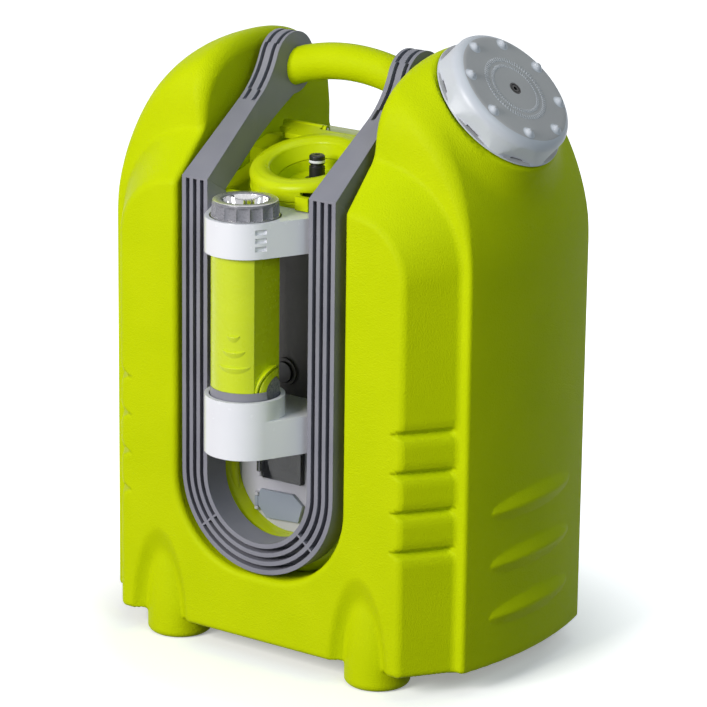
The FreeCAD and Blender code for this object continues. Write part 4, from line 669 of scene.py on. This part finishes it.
def make_cap():
    count = 720
    angles = np.arange(count) * 360 / count
    profile = cap_profile()
    points = np.concatenate([cap_ring(r, h, angles) for r, h in profile]).tolist()
    faces = ring_faces(len(profile), count, True)
    bump_points, bump_faces = cap_bumps()
    faces += [tuple(len(points) + v for v in face) for face in bump_faces]
    points += bump_points
    obj = new_piece("screw_cap", points, faces, LIGHT_GREY, "cap", "cap_grey", "filler_cap", sharp=35)
    # The top faces get the darker disc grey: a matte finish that is partly painted shade.
    obj.data.materials.append(CAP_DISC_MATTE_AND_SHADE)
    for polygon in obj.data.polygons:
        polygon.material_index = 1 if polygon.normal.dot(Vector(CAP_AXIS)) > CAP_DISC_FACING else 0


make_cap()


# --------------------------------------------------------------------- gun
GUN_Y = -133.0
GUN_R = 25.8
GUN_FLAT_X = 20.6           # the gun's flat side
RING_Z = 361.4
RING_R = 26.1
RING_BORE_R = 18.3
FLUTES = 16
FLUTE_DEPTH = 2.0
# The ring's section: radius, height above its foot, and the share of the flutes' depth there.
RING_PROFILE = (
    (RING_BORE_R, 0.0, 0), (RING_BORE_R, 12.5, 0), (18.9, 13.1, 0), (23.6, 13.1, 0),
    (24.6, 12.7, 0), (24.9, 11.8, 0), (25.1, 11.0, 0.15), (25.3, 10.3, 0.6),
    (25.4, 9.2, 0.9), (25.6, 6.5, 1), (25.8, 3.0, 1), (25.9, 1.4, 1),
    (26.0, 1.0, 0), (RING_R, 0.8, 0), (RING_R, 0.2, 0), (25.8, 0.0, 0),
)
CRESCENTS = ((273.4, 12), (261.4, 21), (249.2, 30))     # height and half angle of each ridge
CRESCENT_TURN = 17.5
CRESCENT_RISE = 1.3
CRESCENT_SAG = 1.6          # how much a ridge's ends curve up
# A ridge's section: out from the gun, up, and the share of the ridge's rise there.
CRESCENT_SECTION = ((-0.2, 1.7, 0), (0, 0.2, 1), (0, -0.5, 0.95), (-0.2, -4.5, 0))
DOT_Z = (268.0, 350.0)
DOT_Y = GUN_Y - 4.0
DOT_COLUMNS = 4
DOT_STEP = 4.1
DOT_R = 0.45
DOT_SIDES = 8


def make_nozzle_ring():
    # The ring that turns the jet, with hollow flutes round its side and a brushed rim.
    count = 480
    turn = np.radians(np.arange(count) * 360 / count)
    hollow = np.abs(np.sin(FLUTES / 2 * turn)) ** 0.6
    points = []
    for radius, height, share in RING_PROFILE:
        r = radius - FLUTE_DEPTH * share * hollow
        level = np.full(count, RING_Z + height)
        points += np.stack([r * np.cos(turn), GUN_Y + r * np.sin(turn), level], axis=1).tolist()
    faces = ring_faces(len(RING_PROFILE), count, True)
    body = "nozzle_ring"
    obj = new_piece("nozzle_ring", points, faces, RING_GREY, body, "frame_grey", "gun_nozzle_ring", sharp=40)
    obj.data.materials.append(BRUSHED)
    for polygon in obj.data.polygons:
        polygon.material_index = 1 if polygon.normal.z > 0.9 else 0


def crescent(z, half_angle):
    # A shallow ridge on the gun's front that ends in two points.
    points = []
    steps = 24
    for i in range(steps + 1):
        t = 2 * i / steps - 1
        swell = math.sqrt(max(1 - t * t, 0.0004))
        a = math.radians(CRESCENT_TURN + half_angle * t)
        for dr, dz, share in CRESCENT_SECTION:
            r = GUN_R + dr + CRESCENT_RISE * share * swell
            height = z + CRESCENT_SAG * t * t + dz * swell
            points.append((r * math.sin(a), GUN_Y - r * math.cos(a), height))
    return points, ring_faces(steps + 1, len(CRESCENT_SECTION), False)


def dot(y, z):
    # A tiny stud on the gun's flat side.
    n = DOT_SIDES
    points = [(GUN_FLAT_X + 0.35, y, z)]
    for r, rise in ((DOT_R * 0.7, 0.25), (DOT_R, -0.1)):
        for i in range(n):
            a = 2 * math.pi * i / n
            points.append((GUN_FLAT_X + rise, y + r * math.cos(a), z + r * math.sin(a)))
    faces = [(0, 1 + i, 1 + (i + 1) % n) for i in range(n)]
    faces += [(1 + i, 1 + n + i, 1 + n + (i + 1) % n, 1 + (i + 1) % n) for i in range(n)]
    return points, faces


def dot_places():
    # Rows of studs, half a step to the side in every other row, fewer towards both ends.
    rows = int((DOT_Z[1] - DOT_Z[0]) / DOT_STEP)
    places = []
    for row in range(rows):
        share = 1 - (row / rows - 0.6) ** 2 * 2.2
        for column in range(DOT_COLUMNS):
            if column < DOT_COLUMNS * share:
                y = DOT_Y + column * DOT_STEP + DOT_STEP / 2 * (row % 2)
                places.append((y, DOT_Z[0] + row * DOT_STEP))
    return places


def make_gun_marks():
    # The crescents and the studs of the grip, as one piece.
    pieces = [crescent(z, half_angle) for z, half_angle in CRESCENTS]
    pieces += [dot(y, z) for y, z in dot_places()]
    points = []
    faces = []
    for piece_points, piece_faces in pieces:
        faces += [tuple(len(points) + v for v in face) for face in piece_faces]
        points += piece_points
    new_piece("gun_marks", points, faces, GUN_GREEN, "gun", "trim_green", sharp=50)


make_nozzle_ring()
make_gun_marks()


# --------------------------------------------------------------------- bay
BEAD_PATH_R = 54.0
BEAD_R = 7.2
BEAD_Y = -82.0
BEAD_Z = 138.5              # centre of the bend
BEAD_TOP_Z = 330.0
BEAD_MIDDLE_Z = 240.0
BEAD_STEPS = 48
BEAD_SIDES = 28


def bead_path():
    # Points (x, z) of the bead's middle line, each with the direction that points away from the bay.
    path = [(-BEAD_PATH_R, BEAD_TOP_Z, -1, 0), (-BEAD_PATH_R, BEAD_MIDDLE_Z, -1, 0)]
    for i in range(BEAD_STEPS + 1):
        a = math.pi + math.pi * i / BEAD_STEPS
        path.append((BEAD_PATH_R * math.cos(a), BEAD_Z + BEAD_PATH_R * math.sin(a), math.cos(a), math.sin(a)))
    path += [(BEAD_PATH_R, BEAD_MIDDLE_Z, 1, 0), (BEAD_PATH_R, BEAD_TOP_Z, 1, 0)]
    return path


def make_bead():
    # The rounded bead along the bay's edge: two straight sides joined by a half circle below.
    points = []
    for x, z, out_x, out_z in bead_path():
        for j in range(BEAD_SIDES):
            b = 2 * math.pi * j / BEAD_SIDES
            r = BEAD_R * math.cos(b)
            points.append((x + r * out_x, BEAD_Y + BEAD_R * math.sin(b), z + r * out_z))
    faces = ring_faces(len(points) // BEAD_SIDES, BEAD_SIDES, False)
    new_piece("bay_bead", points, faces, GREEN_SMOOTH, "base", "trim_green")


make_bead()


# ------------------------------------------------------- floor, light, camera
# Lengths are in metres here, apart from the camera's place.
FLOOR_HALF = 6.0
FLOOR_SEEN = 0.95           # the floor's tone to the camera
FLOOR_BOUNCE = 0.2          # and to the light that it throws back on the object
FLOOR_FADE = (0.17, 0.32)   # between these distances the floor turns to plain white
FLOOR_GLOW = 0.3            # how white it is near the object
FLOOR_DRIFT_SIZE = 400.0    # millimetres
WORLD_STRENGTH = 0.12
FILL_COLOUR = (0.8, 1.0, 1.25, 1)
LIGHT_TARGET = (0, 0, 0.25)
# Each soft square lamp: its name, place, side length, power and tint.
LAMPS = (
    ("key", (-0.45, -2.8, 1.5), 1.3, 93, (1.0, 0.97, 0.95)),
    ("top", (0.3, 0.1, 2.7), 1.5, 8, (0.9, 1.0, 0.95)),
    ("side", (2.3, -1.1, 1.8), 1.2, 14, (0.8, 0.98, 1.0)),
)


def seen_directly(tree):
    # 1 for rays from the camera and for those that metal and glass send on, else 0.
    path = tree.nodes.new("ShaderNodeLightPath")
    total = path.outputs["Is Camera Ray"]
    for name in ("Is Glossy Ray", "Is Transmission Ray"):
        step = tree.nodes.new("ShaderNodeMath")
        step.operation = "MAXIMUM"
        tree.links.new(total, step.inputs[0])
        tree.links.new(path.outputs[name], step.inputs[1])
        total = step.outputs[0]
    return total


def scaled(tree, value, ends):
    # Turns a value from 0 to 1 into one between the two ends.
    node = tree.nodes.new("ShaderNodeMapRange")
    tree.links.new(value, node.inputs["Value"])
    node.inputs["To Min"].default_value = ends[0]
    node.inputs["To Max"].default_value = ends[1]
    return node.outputs["Result"]


def floor_material():
    # A pale floor that keeps the shadow near the object and is plain white further out.
    n = Nodes("floor")
    direct = seen_directly(n.tree)
    tone = n.ramp(n.noise(FLOOR_DRIFT_SIZE), 0.3, 0.7, 0.98, 1.02)
    share = scaled(n.tree, direct, (FLOOR_BOUNCE, FLOOR_SEEN))
    albedo = n.add("ShaderNodeMath", {0: tone, 1: share}, operation="MULTIPLY")
    n.set("Base Color", albedo.outputs[0])
    distance = n.add("ShaderNodeVectorMath", {0: n.point}, operation="LENGTH").outputs["Value"]
    glow = n.ramp(distance, FLOOR_FADE[0], FLOOR_FADE[1], FLOOR_GLOW, 1.0)
    seen = n.add("ShaderNodeMath", {0: glow, 1: direct}, operation="MULTIPLY")
    n.set("Roughness", 0.9)
    n.set("Specular IOR Level", 0.0)
    n.set("Emission Color", (1, 1, 1, 1))
    n.set("Emission Strength", seen.outputs[0])
    return n.material


def make_floor():
    mesh = bpy.data.meshes.new("floor")
    h = FLOOR_HALF
    mesh.from_pydata([(-h, -h, 0), (h, -h, 0), (h, h, 0), (-h, h, 0)], [], [(0, 1, 2, 3)])
    mesh.materials.append(floor_material())
    obj = bpy.data.objects.new("floor", mesh)
    bpy.context.scene.collection.objects.link(obj)


def make_world():
    # White to the camera, and a faint cool fill to everything else.
    world = bpy.data.worlds.new("world")
    bpy.context.scene.world = world
    world.use_nodes = True
    tree = world.node_tree
    back = tree.nodes["Background"]
    direct = seen_directly(tree)
    colour = tree.nodes.new("ShaderNodeMix")
    colour.data_type = "RGBA"
    tree.links.new(direct, colour.inputs[0])
    colour.inputs[6].default_value = FILL_COLOUR
    colour.inputs[7].default_value = (1, 1, 1, 1)
    tree.links.new(colour.outputs[2], back.inputs["Color"])
    tree.links.new(scaled(tree, direct, (WORLD_STRENGTH, 1.0)), back.inputs["Strength"])


def add_lamp(name, at, size, power, colour):
    light = bpy.data.lights.new(name, "AREA")
    light.shape = "RECTANGLE"
    light.size = size
    light.size_y = size
    light.energy = power
    light.color = colour
    obj = bpy.data.objects.new(name, light)
    obj.location = at
    direction = Vector(LIGHT_TARGET) - Vector(at)
    obj.rotation_euler = direction.to_track_quat("-Z", "Y").to_euler()
    bpy.context.scene.collection.objects.link(obj)


def make_lights():
    make_world()
    for lamp in LAMPS:
        add_lamp(*lamp)


CAMERA_AT = (1624.4, -2249.5, 1024.6)   # millimetres
CAMERA_AZIMUTH = 35.748     # degrees
CAMERA_DROP = 16.092
CAMERA_ROLL = 0.704
CAMERA_LENS = 187.52
CAMERA_SENSOR = 36.0


def make_camera():
    # Looks down at the front and the right side from above.
    az = math.radians(CAMERA_AZIMUTH)
    drop = math.radians(CAMERA_DROP)
    roll = math.radians(CAMERA_ROLL)
    forward = Vector((-math.sin(az) * math.cos(drop), math.cos(az) * math.cos(drop), -math.sin(drop)))
    right = Vector((math.cos(az), math.sin(az), 0))
    up = right.cross(forward)
    rolled_right = right * math.cos(roll) + up * math.sin(roll)
    rolled_up = -right * math.sin(roll) + up * math.cos(roll)
    turn = Matrix((rolled_right, rolled_up, -forward)).transposed()
    data = bpy.data.cameras.new("camera")
    data.lens = CAMERA_LENS
    data.sensor_width = CAMERA_SENSOR
    data.clip_end = 50
    obj = bpy.data.objects.new("camera", data)
    obj.matrix_world = Matrix.Translation(place(*CAMERA_AT)) @ turn.to_4x4()
    bpy.context.scene.collection.objects.link(obj)
    bpy.context.scene.camera = obj


make_floor()
make_lights()
make_camera()
bpy.context.scene.view_settings.view_transform = "Standard"
